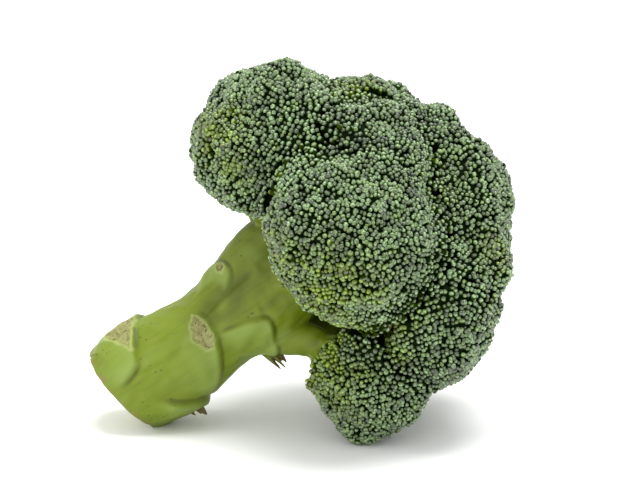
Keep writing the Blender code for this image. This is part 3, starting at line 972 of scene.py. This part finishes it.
# The stalk's outline in the head's frame: height, radius, and how far its middle lies towards +X
STALK_OUTLINE = (
    (-6, 20.2, 0.4),
    (3, 22.0, 0.5),
    (14, 22.6, 1.1),
    (24, 22.4, 1.8),
    (34, 21.0, 2.4),
    (44, 19.5, 1.9),
    (52, 19.6, 1.1),
    (58, 20.8, 1.3),
    (66, 22.0, 1.2),
    (76, 22.4, 0.6),
    (86, 20.5, 0.2),
    (98, 15.0, 0.0),
    (110, 8.0, 0.0),
)
USUAL_SWING = 0.40  # how soon a branch leaves the stalk, and the branches that leave it sooner
BRANCH_SWING = {"upper_left": 1.05}
BRANCH_GIRTH = {"upper_left": 1.95, "front": 1.2, "lower": 0.82}  # thickness beside the plain model's
BRANCH_TAPER = ((0, 0.6, 0.88, 1), (1.35, 1.26, 1.18, 0.80))  # thickness along a branch
BRANCH_ROOT = 16 * MM  # how far down inside the stalk a branch starts
STALK_SIDES, BRANCH_SIDES, SHOOT_SIDES = 72, 32, 12
CUT_LEAN = math.radians(7.5)
CUT_HEIGHT = -0.3 * MM
CUT_RADIUS = 20.6 * MM
STALK_FLOOR = 0.05 * MM  # lowest that the stalk's skin lies above the table
SHOOT_INSET = 6.5 * MM  # how far inside its floret's dome a side shoot ends


def stalk_outline_at(heights):
    table = np.array(STALK_OUTLINE) * MM
    return np.interp(heights, table[:, 0], table[:, 1]), np.interp(heights, table[:, 0], table[:, 2])


def curved_branch(floret):
    """Route and radii of a branch: up out of the stalk, then bending out to its floret."""
    foot, neck = HEAD.to_head(floret.foot), HEAD.to_head(floret.neck)
    start = np.array([0.25 * foot[0], 0.25 * foot[1], foot[2] - BRANCH_ROOT])
    swing = BRANCH_SWING.get(floret.name, USUAL_SWING)
    bend = np.array([swing * neck[0], swing * neck[1], start[2] + 0.66 * (neck[2] - start[2])])
    finish = neck + 0.45 * floret.radius * unit(HEAD.to_head(floret.centre) - neck)
    route = bent(start, bend, neck, 16)
    route = np.concatenate([route, neck + (finish - neck) * np.array([[0.5], [1.0]])])
    girth = BRANCH_GIRTH.get(floret.name, 1) * floret.stem_radius
    radii = girth * np.interp(np.linspace(0, 1, len(route)), *BRANCH_TAPER)
    return HEAD.to_world(route), radii


def side_shoots(floret):
    """Routes and radii of the small shoots that spread from a branch to the edge of its floret."""
    rng = np.random.default_rng(500 + floret.number)
    count = int(8 + floret.radius / MM * 0.35)
    frame_of = turned_to(floret.heading)
    shoots = []
    for k in range(count):
        around = math.tau * (k + rng.uniform(-0.25, 0.25)) / count
        turn = EDGE_TURN + rng.uniform(-0.22, 0.02)
        way = np.array([math.sin(turn) * math.cos(around), math.sin(turn) * math.sin(around), math.cos(turn)])
        end = floret.centre + frame_of @ way * (floret.radius - SHOOT_INSET)
        if own_share(end[None], floret)[0] < 1.0 * MM:
            continue
        start = floret.neck + floret.heading * rng.uniform(-2, 5) * MM
        bend = (start + end) / 2 - floret.heading * 0.10 * floret.radius
        thick = rng.uniform(2.0, 3.0) * MM
        shoots.append((bent(start, bend, end, 7), thick * np.linspace(1.15, 0.75, 7)))
    return shoots


def stalk_tubes():
    """The stalk, its branches and shoots as overlapping closed tubes, ready to be fused."""
    bundle = Bundle()
    heights = np.linspace(STALK_OUTLINE[0][0] * MM, STALK_OUTLINE[-1][0] * MM, 48)
    radii, middles = stalk_outline_at(heights)
    route = HEAD.to_world(np.column_stack([middles, np.zeros(len(heights)), heights]))
    bundle.add(*tube(route, radii, STALK_SIDES))
    for floret in FLORETS:
        bundle.add(*tube(*curved_branch(floret), BRANCH_SIDES))
        for route, radii in side_shoots(floret):
            bundle.add(*tube(route, radii, SHOOT_SIDES))
    return mesh_from("stalk_tubes", np.concatenate(bundle.corners), bundle.faces())


def fused(mesh, grain):
    """One closed skin over all the tubes, with its joints softened."""
    piece = bpy.data.objects.new("fused", mesh)
    bpy.context.scene.collection.objects.link(piece)
    remesh = piece.modifiers.new("skin", "REMESH")
    remesh.mode = "VOXEL"
    remesh.voxel_size = grain
    soften = piece.modifiers.new("soften", "SMOOTH")
    soften.factor = 0.5
    soften.iterations = 7
    graph = bpy.context.evaluated_depsgraph_get()
    skin = bpy.data.meshes.new_from_object(piece.evaluated_get(graph))
    bpy.data.objects.remove(piece, do_unlink=True)
    return skin


def rounded(places, steps=6):
    """A smooth curve through the given places, as many short straight runs."""
    places = np.array(places, float)
    padded = np.concatenate([[2 * places[0] - places[1]], places, [2 * places[-1] - places[-2]]])
    runs = []
    for k in range(len(places) - 1):
        before, start, finish, after = padded[k : k + 4]
        share = np.linspace(0, 1, steps, endpoint=False)[:, None]
        curve = 2 * start + (finish - before) * share
        curve = curve + (2 * before - 5 * start + 4 * finish - after) * share**2
        curve = curve + (3 * start - before - 3 * finish + after) * share**3
        runs.append(curve / 2)
    return np.concatenate([*runs, places[-1:]])


class StalkPlaces:
    """Height, turn and distance from the axis of points on the stalk, and patches laid out on it."""

    def __init__(self, corners):
        self.local = HEAD.to_head(corners)
        _, middle = stalk_outline_at(self.local[:, 2])
        self.height = self.local[:, 2] / MM
        self.turn = np.degrees(np.arctan2(self.local[:, 1], self.local[:, 0] - middle))
        self.out = np.hypot(self.local[:, 0] - middle, self.local[:, 1]) / MM
        flat = np.column_stack([self.local[:, 0] - middle, self.local[:, 1], np.zeros(len(corners))])
        self.outward = HEAD.turn_to_world(unit(flat))
        self.on_stalk = self.out < SKIN_REACH

    def unrolled(self, turn):
        """Up and round positions in millimetres, as if the skin were peeled off flat about a turn."""
        round_by = (self.turn - turn + 180) % 360 - 180
        return np.column_stack([self.height, np.radians(round_by) * SKIN_RADIUS])

    def patch(self, height, turn, half_up, half_across, soft):
        """One inside a rounded patch of the stalk's skin, falling to nought over its soft edge."""
        away = (self.unrolled(turn) - (height, 0)) / (half_up, half_across)
        return smooth(1 + soft, 1 - soft, np.linalg.norm(away, axis=1)) * self.on_stalk

    def line(self, places):
        """Distance from a line on the skin, positive on the crown's side, and a fade at its ends."""
        middle = places[len(places) // 2][1]
        flat = self.unrolled(middle)
        route = rounded([(height, math.radians(turn - middle) * SKIN_RADIUS) for height, turn in places])
        runs = np.diff(route, axis=0)
        lengths = np.linalg.norm(runs, axis=1)
        total = lengths.sum()
        nearest = np.full(len(flat), np.inf)
        signed = np.zeros(len(flat))
        along = np.zeros(len(flat))
        for k, (start, run, length) in enumerate(zip(route, runs, lengths)):
            offset = flat - start
            share = np.clip(offset @ run / length**2, 0, 1)
            gap = np.linalg.norm(offset - np.outer(share, run), axis=1)
            closer = gap < nearest
            nearest = np.where(closer, gap, nearest)
            side = np.sign(run[1] * offset[:, 0] - run[0] * offset[:, 1])
            signed = np.where(closer, gap * side, signed)
            along = np.where(closer, (lengths[:k].sum() + share * length) / total, along)
        fade = smooth(0, 0.16, along) * smooth(1, 0.84, along) * self.on_stalk
        return signed, fade

    def inside(self, outline):
        """How far each point lies inside a many-sided outline on the skin, in millimetres."""
        middle = sum(turn for _, turn in outline) / len(outline)
        flat = self.unrolled(middle)
        ring = np.array([(height, math.radians(turn - middle) * SKIN_RADIUS) for height, turn in outline])
        centre = ring.mean(axis=0)
        depth = np.full(len(flat), np.inf)
        for start, finish in zip(ring, np.roll(ring, -1, axis=0)):
            run = finish - start
            normal = np.array([-run[1], run[0]]) / np.linalg.norm(run)
            normal = normal * np.sign((centre - start) @ normal)
            depth = np.minimum(depth, (flat - start) @ normal)
        wobble = 0.22 * waves(self.local, 6 * MM, seed=31)
        return np.where(self.on_stalk, depth + wobble, -np.inf)


# The next values are in millimetres and degrees, as heights up the stalk and turns round it from +X
SKIN_RADIUS = 20.5  # the radius at which turns are unrolled into distances
SKIN_REACH = 33  # skin farther than this from the axis belongs to a branch
RISE_REACH = 36  # and skin farther than this isn't moved at all
# The steps where a leaf's base ends: rise, how far down it fades, how soft the step is, and its line
LEDGES = (
    (2.4, 15, 1.5, (
        (22, -226), (24, -204), (23, -178), (20.5, -150), (18.0, -131), (15.5, -114), (8, -105), (0, -101),
    )),
    (1.5, 20, 2.2, ((44, -140), (48.6, -124), (49.8, -100), (47.4, -80), (43, -58), (38, -40), (30, -22))),
    (0.9, 20, 1.8, ((56, -186), (64, -170), (68.6, -152), (68, -141), (62, -130))),
    (1.4, 13, 1.5, ((48, -90), (56, -89), (64, -85), (71, -76), (71, -64), (68, -48), (64, -28), (57, -10))),
    (3.0, 13, 1.8, ((13, -68), (20, -50), (26, -28), (28, -4), (26, 18), (20, 36))),
    (1.5, 18, 2.2, ((26, 62), (35, 84), (39, 106), (37, 128), (29, 146))),
    (1.4, 16, 2.0, ((48, 4), (58, 24), (61, 46), (58, 66), (50, 82))),
    (1.3, 16, 2.0, ((56, 112), (65, 128), (68, 146), (63, 163), (57, 172))),
    (1.4, 12, 1.8, ((8, 22), (15, 36), (17, 54), (14, 72), (7, 86))),
)
SCARS = (
    ((45.3, -129), (47.9, -119), (48.6, -97), (46.2, -83), (43.2, -88), (40.6, -104), (42.5, -120)),
    ((67.6, -158), (68.0, -151), (65.8, -148), (64.4, -153), (65.0, -159)),
    ((38.0, 92), (38.4, 112), (34.8, 120), (32.2, 104), (33.6, 91)),
    ((60.0, 34), (60.4, 52), (57.0, 58), (54.8, 46), (56.2, 34)),
    ((66.4, 138), (66.8, 152), (63.6, 156), (62.2, 145)),
)
TRIMMED = ((6.6, -172), (16.6, -131), (22.0, -166), (21.0, -196), (9.5, -198))  # outline of the flat cut
TRIM_PLACE = (15.3, -150)  # the middle of the flat where a leaf was trimmed off
TRIM_OUT = 22.9  # how far out the flat lies
TRIM_SLOPE = math.radians(3)  # how far it slopes towards the cut end
HOLLOW_SHADE = (60, -118, 18, 8, 0.6)  # painted shade in the hollow between two branches: place, half sizes, softness
GROOVES = (  # long hollows between the ridges that run up into the branches: depth, width, line
    (2.3, 2.8, ((42, -122), (49, -124), (56, -128), (66, -131), (80, -130))),
    (0.9, 3.0, ((70, -88), (78, -84), (86, -80))),
    (1.0, 3.0, ((44, 20), (56, 12), (70, 8), (84, 6))),
    (1.0, 3.0, ((42, 84), (56, 92), (70, 96), (84, 98))),
    (0.9, 3.0, ((44, 150), (58, 178), (72, 184))),
)
SKIN_MARKS = ("cushion", "crease", "scar", "scar_rim", "cut", "cut_share", "cut_edge", "under_crown")


def mark(marks, name, values):
    """Raises a mark wherever the given values are stronger."""
    marks[name] = np.maximum(marks[name], values)


def clear_marks(marks, names, share):
    for name in names:
        marks[name] = marks[name] * (1 - share)


def sculpt_stalk(skin):
    """Raises leaf bases, sinks creases and scars, trims the flat and marks them for the material, with
    painted shade in the creases, the hollow between branches and under the crown.
    """
    corners = points_of(skin)
    places = StalkPlaces(corners)
    marks = {key: np.zeros(len(corners)) for key in SKIN_MARKS}
    rise = 0.35 * waves(places.local, 26 * MM, seed=11) + 0.16 * waves(places.local, 9 * MM, seed=12)
    uneven = np.clip(0.75 + 0.4 * waves(places.local, 13 * MM, seed=16), 0, 1)
    for lift, fading, soft, line in LEDGES:
        gap, fade = places.line(line)
        below = smooth(soft, -soft, gap) * np.exp(np.minimum(gap, 0) / fading)
        groove = np.exp(-(((gap - 0.8 * soft) / (0.6 * soft)) ** 2))
        rise += fade * (lift * below - 0.25 * groove)
        # Painted shade along the crease under each ledge.
        crease_shade_line = np.exp(-(((gap - 0.6 * soft) / 0.75) ** 2))
        mark(marks, "crease", 0.75 * fade * uneven * crease_shade_line)
        bloom = smooth(0.4, -1.8, gap) * np.exp(np.minimum(gap, 0) / (0.5 * fading))
        mark(marks, "cushion", 0.85 * fade * bloom)
    for depth, width, line in GROOVES:
        gap, fade = places.line(line)
        rise -= depth * fade * np.exp(-((gap / width) ** 2))
        # Painted shade along the bottom of each groove.
        mark(marks, "crease", 0.25 * depth * fade * np.exp(-((gap / (0.6 * width)) ** 2)))
    for outline in SCARS:
        depth = places.inside(outline)
        scar = smooth(-0.1, 0.35, depth)
        rim = smooth(-1.1, -0.5, depth) * smooth(0.3, -0.1, depth)
        rise += 0.40 * rim - 0.45 * scar + 0.22 * scar * waves(places.local, 1.8 * MM, seed=13)
        mark(marks, "scar", scar)
        mark(marks, "scar_rim", 0.7 * rim)
    # Painted shade in the hollow between two branches, uneven in strength.
    hollow = places.patch(*HOLLOW_SHADE) * np.clip(0.7 + 0.4 * waves(places.local, 10 * MM, seed=17), 0, 1)
    mark(marks, "crease", 0.55 * hollow)

    corners = corners + places.outward * (rise * MM * (places.out < RISE_REACH))[:, None]
    corners = trim_flat(corners, places, marks)
    corners = cut_end(corners, marks)
    keep_above_table(corners, STALK_FLOOR)
    local = HEAD.to_head(corners)
    # Painted shade on the skin under the crown, rising from 34 mm to 78 mm up the stalk and on its upper
    # side.
    marks["under_crown"] = smooth(34 * MM, 78 * MM, local[:, 2]) * smooth(6 * MM, -12 * MM, local[:, 0])
    skin.vertices.foreach_set("co", corners.astype(np.float32).reshape(-1))
    write_marks(skin, marks)
    skin.update()


def trim_flat(corners, places, marks):
    """Presses the skin onto the slanting flat where a leaf was cut away flush."""
    height, turn = TRIM_PLACE
    out = np.array([math.cos(math.radians(turn)), math.sin(math.radians(turn)), 0])
    normal = unit(out * math.cos(TRIM_SLOPE) - np.array([0, 0, math.sin(TRIM_SLOPE)]))
    point = out * TRIM_OUT * MM + np.array([0, 0, height * MM])
    local = HEAD.to_head(corners)
    over = (local - point) @ normal
    depth = places.inside(TRIMMED)
    within = smooth(-0.5, 0.5, depth)
    rough = 0.12 * MM * waves(local, 3 * MM, seed=14)
    local = local - np.outer(np.maximum(over + rough, 0) * within, normal)
    scar = smooth(0.1, 0.6, depth)
    rim = smooth(-1.0, -0.3, depth) * smooth(0.6, 0.0, depth)
    mark(marks, "scar", 0.85 * scar)
    mark(marks, "scar_rim", 0.85 * rim)
    clear_marks(marks, ("cushion", "crease"), within)
    return HEAD.to_world(local)


def cut_end(corners, marks):
    """Makes the cut end a plane that leans a little, slightly dished where it has dried."""
    local = HEAD.to_head(corners)
    normal = np.array([math.sin(CUT_LEAN), 0, -math.cos(CUT_LEAN)])
    over = (local - np.array([0, 0, CUT_HEIGHT])) @ normal
    share = np.hypot(local[:, 0], local[:, 1]) / CUT_RADIUS
    dish = 0.9 * MM * np.clip(1 - share**2, 0, 1) + 0.12 * MM * waves(local, 7 * MM, seed=21)
    face = smooth(-0.45 * MM, -0.1 * MM, over)
    local = local - np.outer(np.maximum(over + dish * face, 0), normal)
    marks["cut"] = face
    marks["cut_share"] = np.clip(share, 0, 1.2)
    ragged = 0.5 * MM * waves(local, 5 * MM, seed=22)
    marks["cut_edge"] = smooth(-2.0 * MM, -0.6 * MM, over + ragged) * (1 - face)
    clear_marks(marks, ("cushion", "crease", "scar", "scar_rim"), face)
    return HEAD.to_world(local)


# ---- Torn leaf stubs and bracts -------------------------------------------------------------------

# Torn leaf stubs: how far each leans towards the crown, how much longer it is than the plain model, how
# far it has slid up the stalk and how many degrees it is turned about its length
STUBS = {"low": (0.25, 4.2, 4.5, 50), "branch": (0.25, 2.0, 5.0, 60), "back": (0.10, 3.0, 0.0, 20)}
BRACTS = ("front", "back")
BLADE_STEPS, BLADE_SIDES = 22, 15
LEAF_FLOOR = 0.1 * MM  # lowest that a leaf lies above the table
STUB_ROOT = 5 * MM  # how deep a stub's root sits in the stalk
STUB_OUTLINE = (1.15, 1.05, 0.95, 0.80, 0.62)  # half widths along a blade, as shares of its width
BRACT_OUTLINE = (0.65, 0.95, 1.0, 0.6, 0.06)


def blade(root, along, across, length, half_width, thickness, outline, torn, curl, fold):
    """Corners, faces and dryness of one closed leaf blade that thins towards a torn or pointed end."""
    normal = np.cross(along, across)
    corners, dryness = [], []
    for face in (1, -1):
        for k in range(BLADE_STEPS + 1):
            share = k / BLADE_STEPS
            half = half_width * np.interp(share, [0, 0.3, 0.6, 0.85, 1], outline)
            for j in range(BLADE_SIDES):
                aside = (j / (BLADE_SIDES - 1) - 0.5) * 2
                reach = length * share * (1 - torn[j] * share)
                flesh = thickness / 2 * (1 - 0.78 * share) * (1.05 - 0.75 * aside**2)
                ripple = 0.12 * MM * math.sin(8 * share + 4 * aside)
                lift = fold * abs(aside) * half + curl * share**2 + ripple
                point = root + along * reach + across * aside * half + normal * (lift + face * flesh)
                corners.append(point)
                dryness.append(share * (0.75 + 0.5 * torn[j]) + 0.12 * abs(aside))
    size = (BLADE_STEPS + 1) * BLADE_SIDES
    quads = []

    def corner(face, k, j):
        return face * size + k * BLADE_SIDES + j

    for k in range(BLADE_STEPS):
        for j in range(BLADE_SIDES - 1):
            quads.append((corner(0, k, j), corner(0, k, j + 1), corner(0, k + 1, j + 1), corner(0, k + 1, j)))
            quads.append((corner(1, k, j), corner(1, k + 1, j), corner(1, k + 1, j + 1), corner(1, k, j + 1)))
        for j in (0, BLADE_SIDES - 1):
            edge = (corner(0, k, j), corner(0, k + 1, j), corner(1, k + 1, j), corner(1, k, j))
            quads.append(edge if j == 0 else edge[::-1])
    for j in range(BLADE_SIDES - 1):
        for k in (0, BLADE_STEPS):
            edge = (corner(0, k, j), corner(1, k, j), corner(1, k, j + 1), corner(0, k, j + 1))
            quads.append(edge if k == 0 else edge[::-1])
    return np.array(corners), np.array(quads), np.array(dryness)


def leaf_piece(name, corners, quads, dryness, material, node, slot):
    keep_above_table(corners, LEAF_FLOOR)
    mesh = mesh_from(name, corners, quads, {"dryness": dryness})
    shape = bmesh.new()
    shape.from_mesh(mesh)
    bmesh.ops.recalc_face_normals(shape, faces=shape.faces)
    shape.to_mesh(mesh)
    shape.free()
    place(mesh, [material], [node])


def leaf_stub(name, material):
    """A torn leaf base: a fleshy root that thins to a ragged dry edge."""
    node = "leaf_stub_" + name
    points = points_of(NODES[node].data)
    centre = (points.min(axis=0) + points.max(axis=0)) / 2
    local = HEAD.to_head(centre)
    outward = HEAD.turn_to_world(unit(np.array([local[0], local[1], 0.0])))
    axis = HEAD.turn_to_world(np.array([0, 0, 1.0]))
    lean, extra, slide, roll = STUBS[name]
    along = unit(outward + lean * axis)
    across = unit(np.cross(axis, outward))
    normal = np.cross(along, across)
    spans = [np.ptp(points @ way) for way in (outward, across, normal)]
    across = across * math.cos(math.radians(roll)) + normal * math.sin(math.radians(roll))
    root = centre - along * (spans[0] / 2 + STUB_ROOT) + axis * slide * MM
    length = spans[0] + STUB_ROOT + extra * MM
    rng = np.random.default_rng(700 + len(name))
    torn = np.convolve(rng.uniform(0, 1, BLADE_SIDES + 2), [0.25, 0.5, 0.25], "valid")
    torn = 0.52 * (torn - torn.min()) / (torn.max() - torn.min())
    form = blade(
        root, along, across, length, 0.62 * spans[1], 1.1 * spans[2], STUB_OUTLINE, torn, -1.2 * MM, 0.10
    )
    leaf_piece(name + "_leaf_stub", *form, material, node, "dry_leaf")


def bract(name, material):
    """A narrow folded leaf with a raised midrib and a pointed, slightly dry tip."""
    node = "bract_" + name
    points = points_of(NODES[node].data)
    middle = points.mean(axis=0)
    along, across, _ = np.linalg.svd(points - middle)[2]
    crown = sum(floret.centre for floret in FLORETS) / len(FLORETS)
    along = along * np.sign(along @ (middle - crown))
    spans = np.ptp((points - middle) @ np.column_stack([along, across]), axis=0)
    root = middle - along * 0.7 * spans[0]
    whole = np.zeros(BLADE_SIDES)
    form = blade(
        root, along, across, 1.35 * spans[0], 0.5 * spans[1], 0.9 * MM, BRACT_OUTLINE, whole, 1.0 * MM, 0.28
    )
    leaf_piece(name + "_bract", *form, material, node, "bract_leaf")


# ---- Operators ------------------------------------------------------------------------------------


class BROCCOLI_OT_florets(bpy.types.Operator):
    """Grow every floret: a bed, the buds on it and their fine stalks at the edge"""

    bl_idname = "broccoli.florets"
    bl_label = "Grow florets"

    def execute(self, context):
        buds = context.scene.broccoli_buds
        materials = [bud_material(buds), under_bud_material(buds)]
        surfaces = [Surface(floret, buds) for floret in FLORETS]
        for surface, places in zip(surfaces, bud_places(surfaces, buds)):
            grow_floret(surface, buds, places, materials)
        return {"FINISHED"}


class BROCCOLI_OT_stalk(bpy.types.Operator):
    """Fuse the stalk and its branches into one skin and sculpt its leaf scars and cut end"""

    bl_idname = "broccoli.stalk"
    bl_label = "Make stalk"

    def execute(self, context):
        stalk = context.scene.broccoli_stalk
        skin = fused(stalk_tubes(), stalk.grain)
        sculpt_stalk(skin)
        skin.name = "stalk_and_branches"
        skin.materials.clear()
        skin.polygons.foreach_set("use_smooth", np.full(len(skin.polygons), True))
        replaced = [STALK_NODE] + [floret.stem_node for floret in FLORETS]
        place(skin, [stalk_material(stalk)], replaced)
        return {"FINISHED"}


class BROCCOLI_OT_leaves(bpy.types.Operator):
    """Add the torn leaf stubs on the stalk and the small bracts between florets"""

    bl_idname = "broccoli.leaves"
    bl_label = "Add leaf stubs and bracts"

    def execute(self, context):
        torn = leaf_material("torn_leaf", TORN_FRESH, TORN_DRY)
        for name in STUBS:
            leaf_stub(name, torn)
        young = leaf_material("bract_leaf", BRACT_FRESH, BRACT_DRY)
        for name in BRACTS:
            bract(name, young)
        return {"FINISHED"}


class BROCCOLI_OT_stage(bpy.types.Operator):
    """Set out the pale table, the soft lights and the camera"""

    bl_idname = "broccoli.stage"
    bl_label = "Set the stage"

    def execute(self, context):
        stage = context.scene.broccoli_stage
        add_table(stage)
        add_lights(stage)
        add_camera(context.scene)
        return {"FINISHED"}


TABLE_HALF = 3.0  # this and the places below are in metres
CAMERA_AWAY = 0.95
CAMERA_RISE = math.radians(12)
CAMERA_LENS = 127  # in millimetres
CAMERA_SIGHT = 20  # how far the camera sees
LOOK_AT = (0.0072, 0.0, 0.0797)
OVERHEAD_AT = (0.12, 0.02, 1.2)
OVERHEAD_SPREAD = math.radians(30)
SIDE_LIGHTS = (("left_light", (-0.75, -0.55, 0.75)), ("front_light", (-0.6, -1.1, 0.15)))
SIDE_LIGHT_SIZE = 0.5
LIGHTS_AIM = (0, 0, 0.08)


def add_table(stage):
    corners = [(x * TABLE_HALF, y * TABLE_HALF, 0) for x, y in ((-1, -1), (1, -1), (1, 1), (-1, 1))]
    mesh = mesh_from("table", np.array(corners), np.array([(0, 1, 2, 3)]), smooth_faces=False)
    nodes = Nodes("table")
    grain = nodes.noise(30, 2)
    colour = nodes.blend(grain, shaded(stage.table, 0.99), stage.table)
    mesh.materials.append(nodes.finish(colour, nodes.ramp(grain, 0, 1, 0.5, 0.6), 0.3))
    table = bpy.data.objects.new("table", mesh)
    bpy.context.scene.collection.objects.link(table)


def aimed(place_at):
    return (Vector(LIGHTS_AIM) - Vector(place_at)).to_track_quat("-Z", "Y").to_euler()


def add_lamp(light, place_at):
    lamp = bpy.data.objects.new(light.name, light)
    lamp.location = place_at
    lamp.rotation_euler = aimed(place_at)
    bpy.context.scene.collection.objects.link(lamp)


def add_lights(stage):
    overhead = bpy.data.lights.new("overhead_light", "SUN")
    overhead.energy = stage.key
    overhead.angle = OVERHEAD_SPREAD
    add_lamp(overhead, OVERHEAD_AT)
    for name, place_at in SIDE_LIGHTS:
        soft = bpy.data.lights.new(name, "AREA")
        soft.shape = "DISK"
        soft.size = SIDE_LIGHT_SIZE
        soft.energy = stage.side_light
        add_lamp(soft, place_at)
    world = bpy.data.worlds.new("white_room")
    world.use_nodes = True
    back = world.node_tree.nodes["Background"]
    back.inputs["Color"].default_value = (1, 1, 1, 1)
    back.inputs["Strength"].default_value = stage.room
    bpy.context.scene.world = world


def add_camera(scene):
    camera_data = bpy.data.cameras.new("camera")
    camera_data.lens = CAMERA_LENS
    camera_data.clip_end = CAMERA_SIGHT
    camera = bpy.data.objects.new("camera", camera_data)
    target = Vector(LOOK_AT)
    back = Vector((0, -math.cos(CAMERA_RISE), math.sin(CAMERA_RISE)))
    camera.location = target + back * CAMERA_AWAY
    camera.rotation_euler = (-back).to_track_quat("-Z", "Y").to_euler()
    scene.collection.objects.link(camera)
    scene.camera = camera
    scene.view_settings.view_transform = "Standard"


class BROCCOLI_PT_panel(bpy.types.Panel):
    """Lists the steps and the settings in the sidebar"""

    bl_label = "Broccoli"
    bl_space_type = "VIEW_3D"
    bl_region_type = "UI"
    bl_category = "Broccoli"

    def draw(self, context):
        scene = context.scene
        for group in (scene.broccoli_buds, scene.broccoli_stalk, scene.broccoli_stage):
            for key in group.__annotations__:
                self.layout.prop(group, key)
        for operator in STEPS:
            self.layout.operator(operator.bl_idname)


STEPS = (BROCCOLI_OT_stage, BROCCOLI_OT_stalk, BROCCOLI_OT_leaves, BROCCOLI_OT_florets)
SETTINGS = {
    "broccoli_buds": BudSettings,
    "broccoli_stalk": StalkSettings,
    "broccoli_stage": StageSettings,
}


def register():
    for name, group in SETTINGS.items():
        bpy.utils.register_class(group)
        setattr(bpy.types.Scene, name, PointerProperty(type=group))
    for kind in (*STEPS, BROCCOLI_PT_panel):
        bpy.utils.register_class(kind)


def unregister():
    for kind in (BROCCOLI_PT_panel, *reversed(STEPS)):
        bpy.utils.unregister_class(kind)
    for name, group in SETTINGS.items():
        delattr(bpy.types.Scene, name)
        bpy.utils.unregister_class(group)


def main():
    register()
    for operator in STEPS:
        group, step = operator.bl_idname.split(".")
        getattr(getattr(bpy.ops, group), step)()


if __name__ == "__main__":
    main()
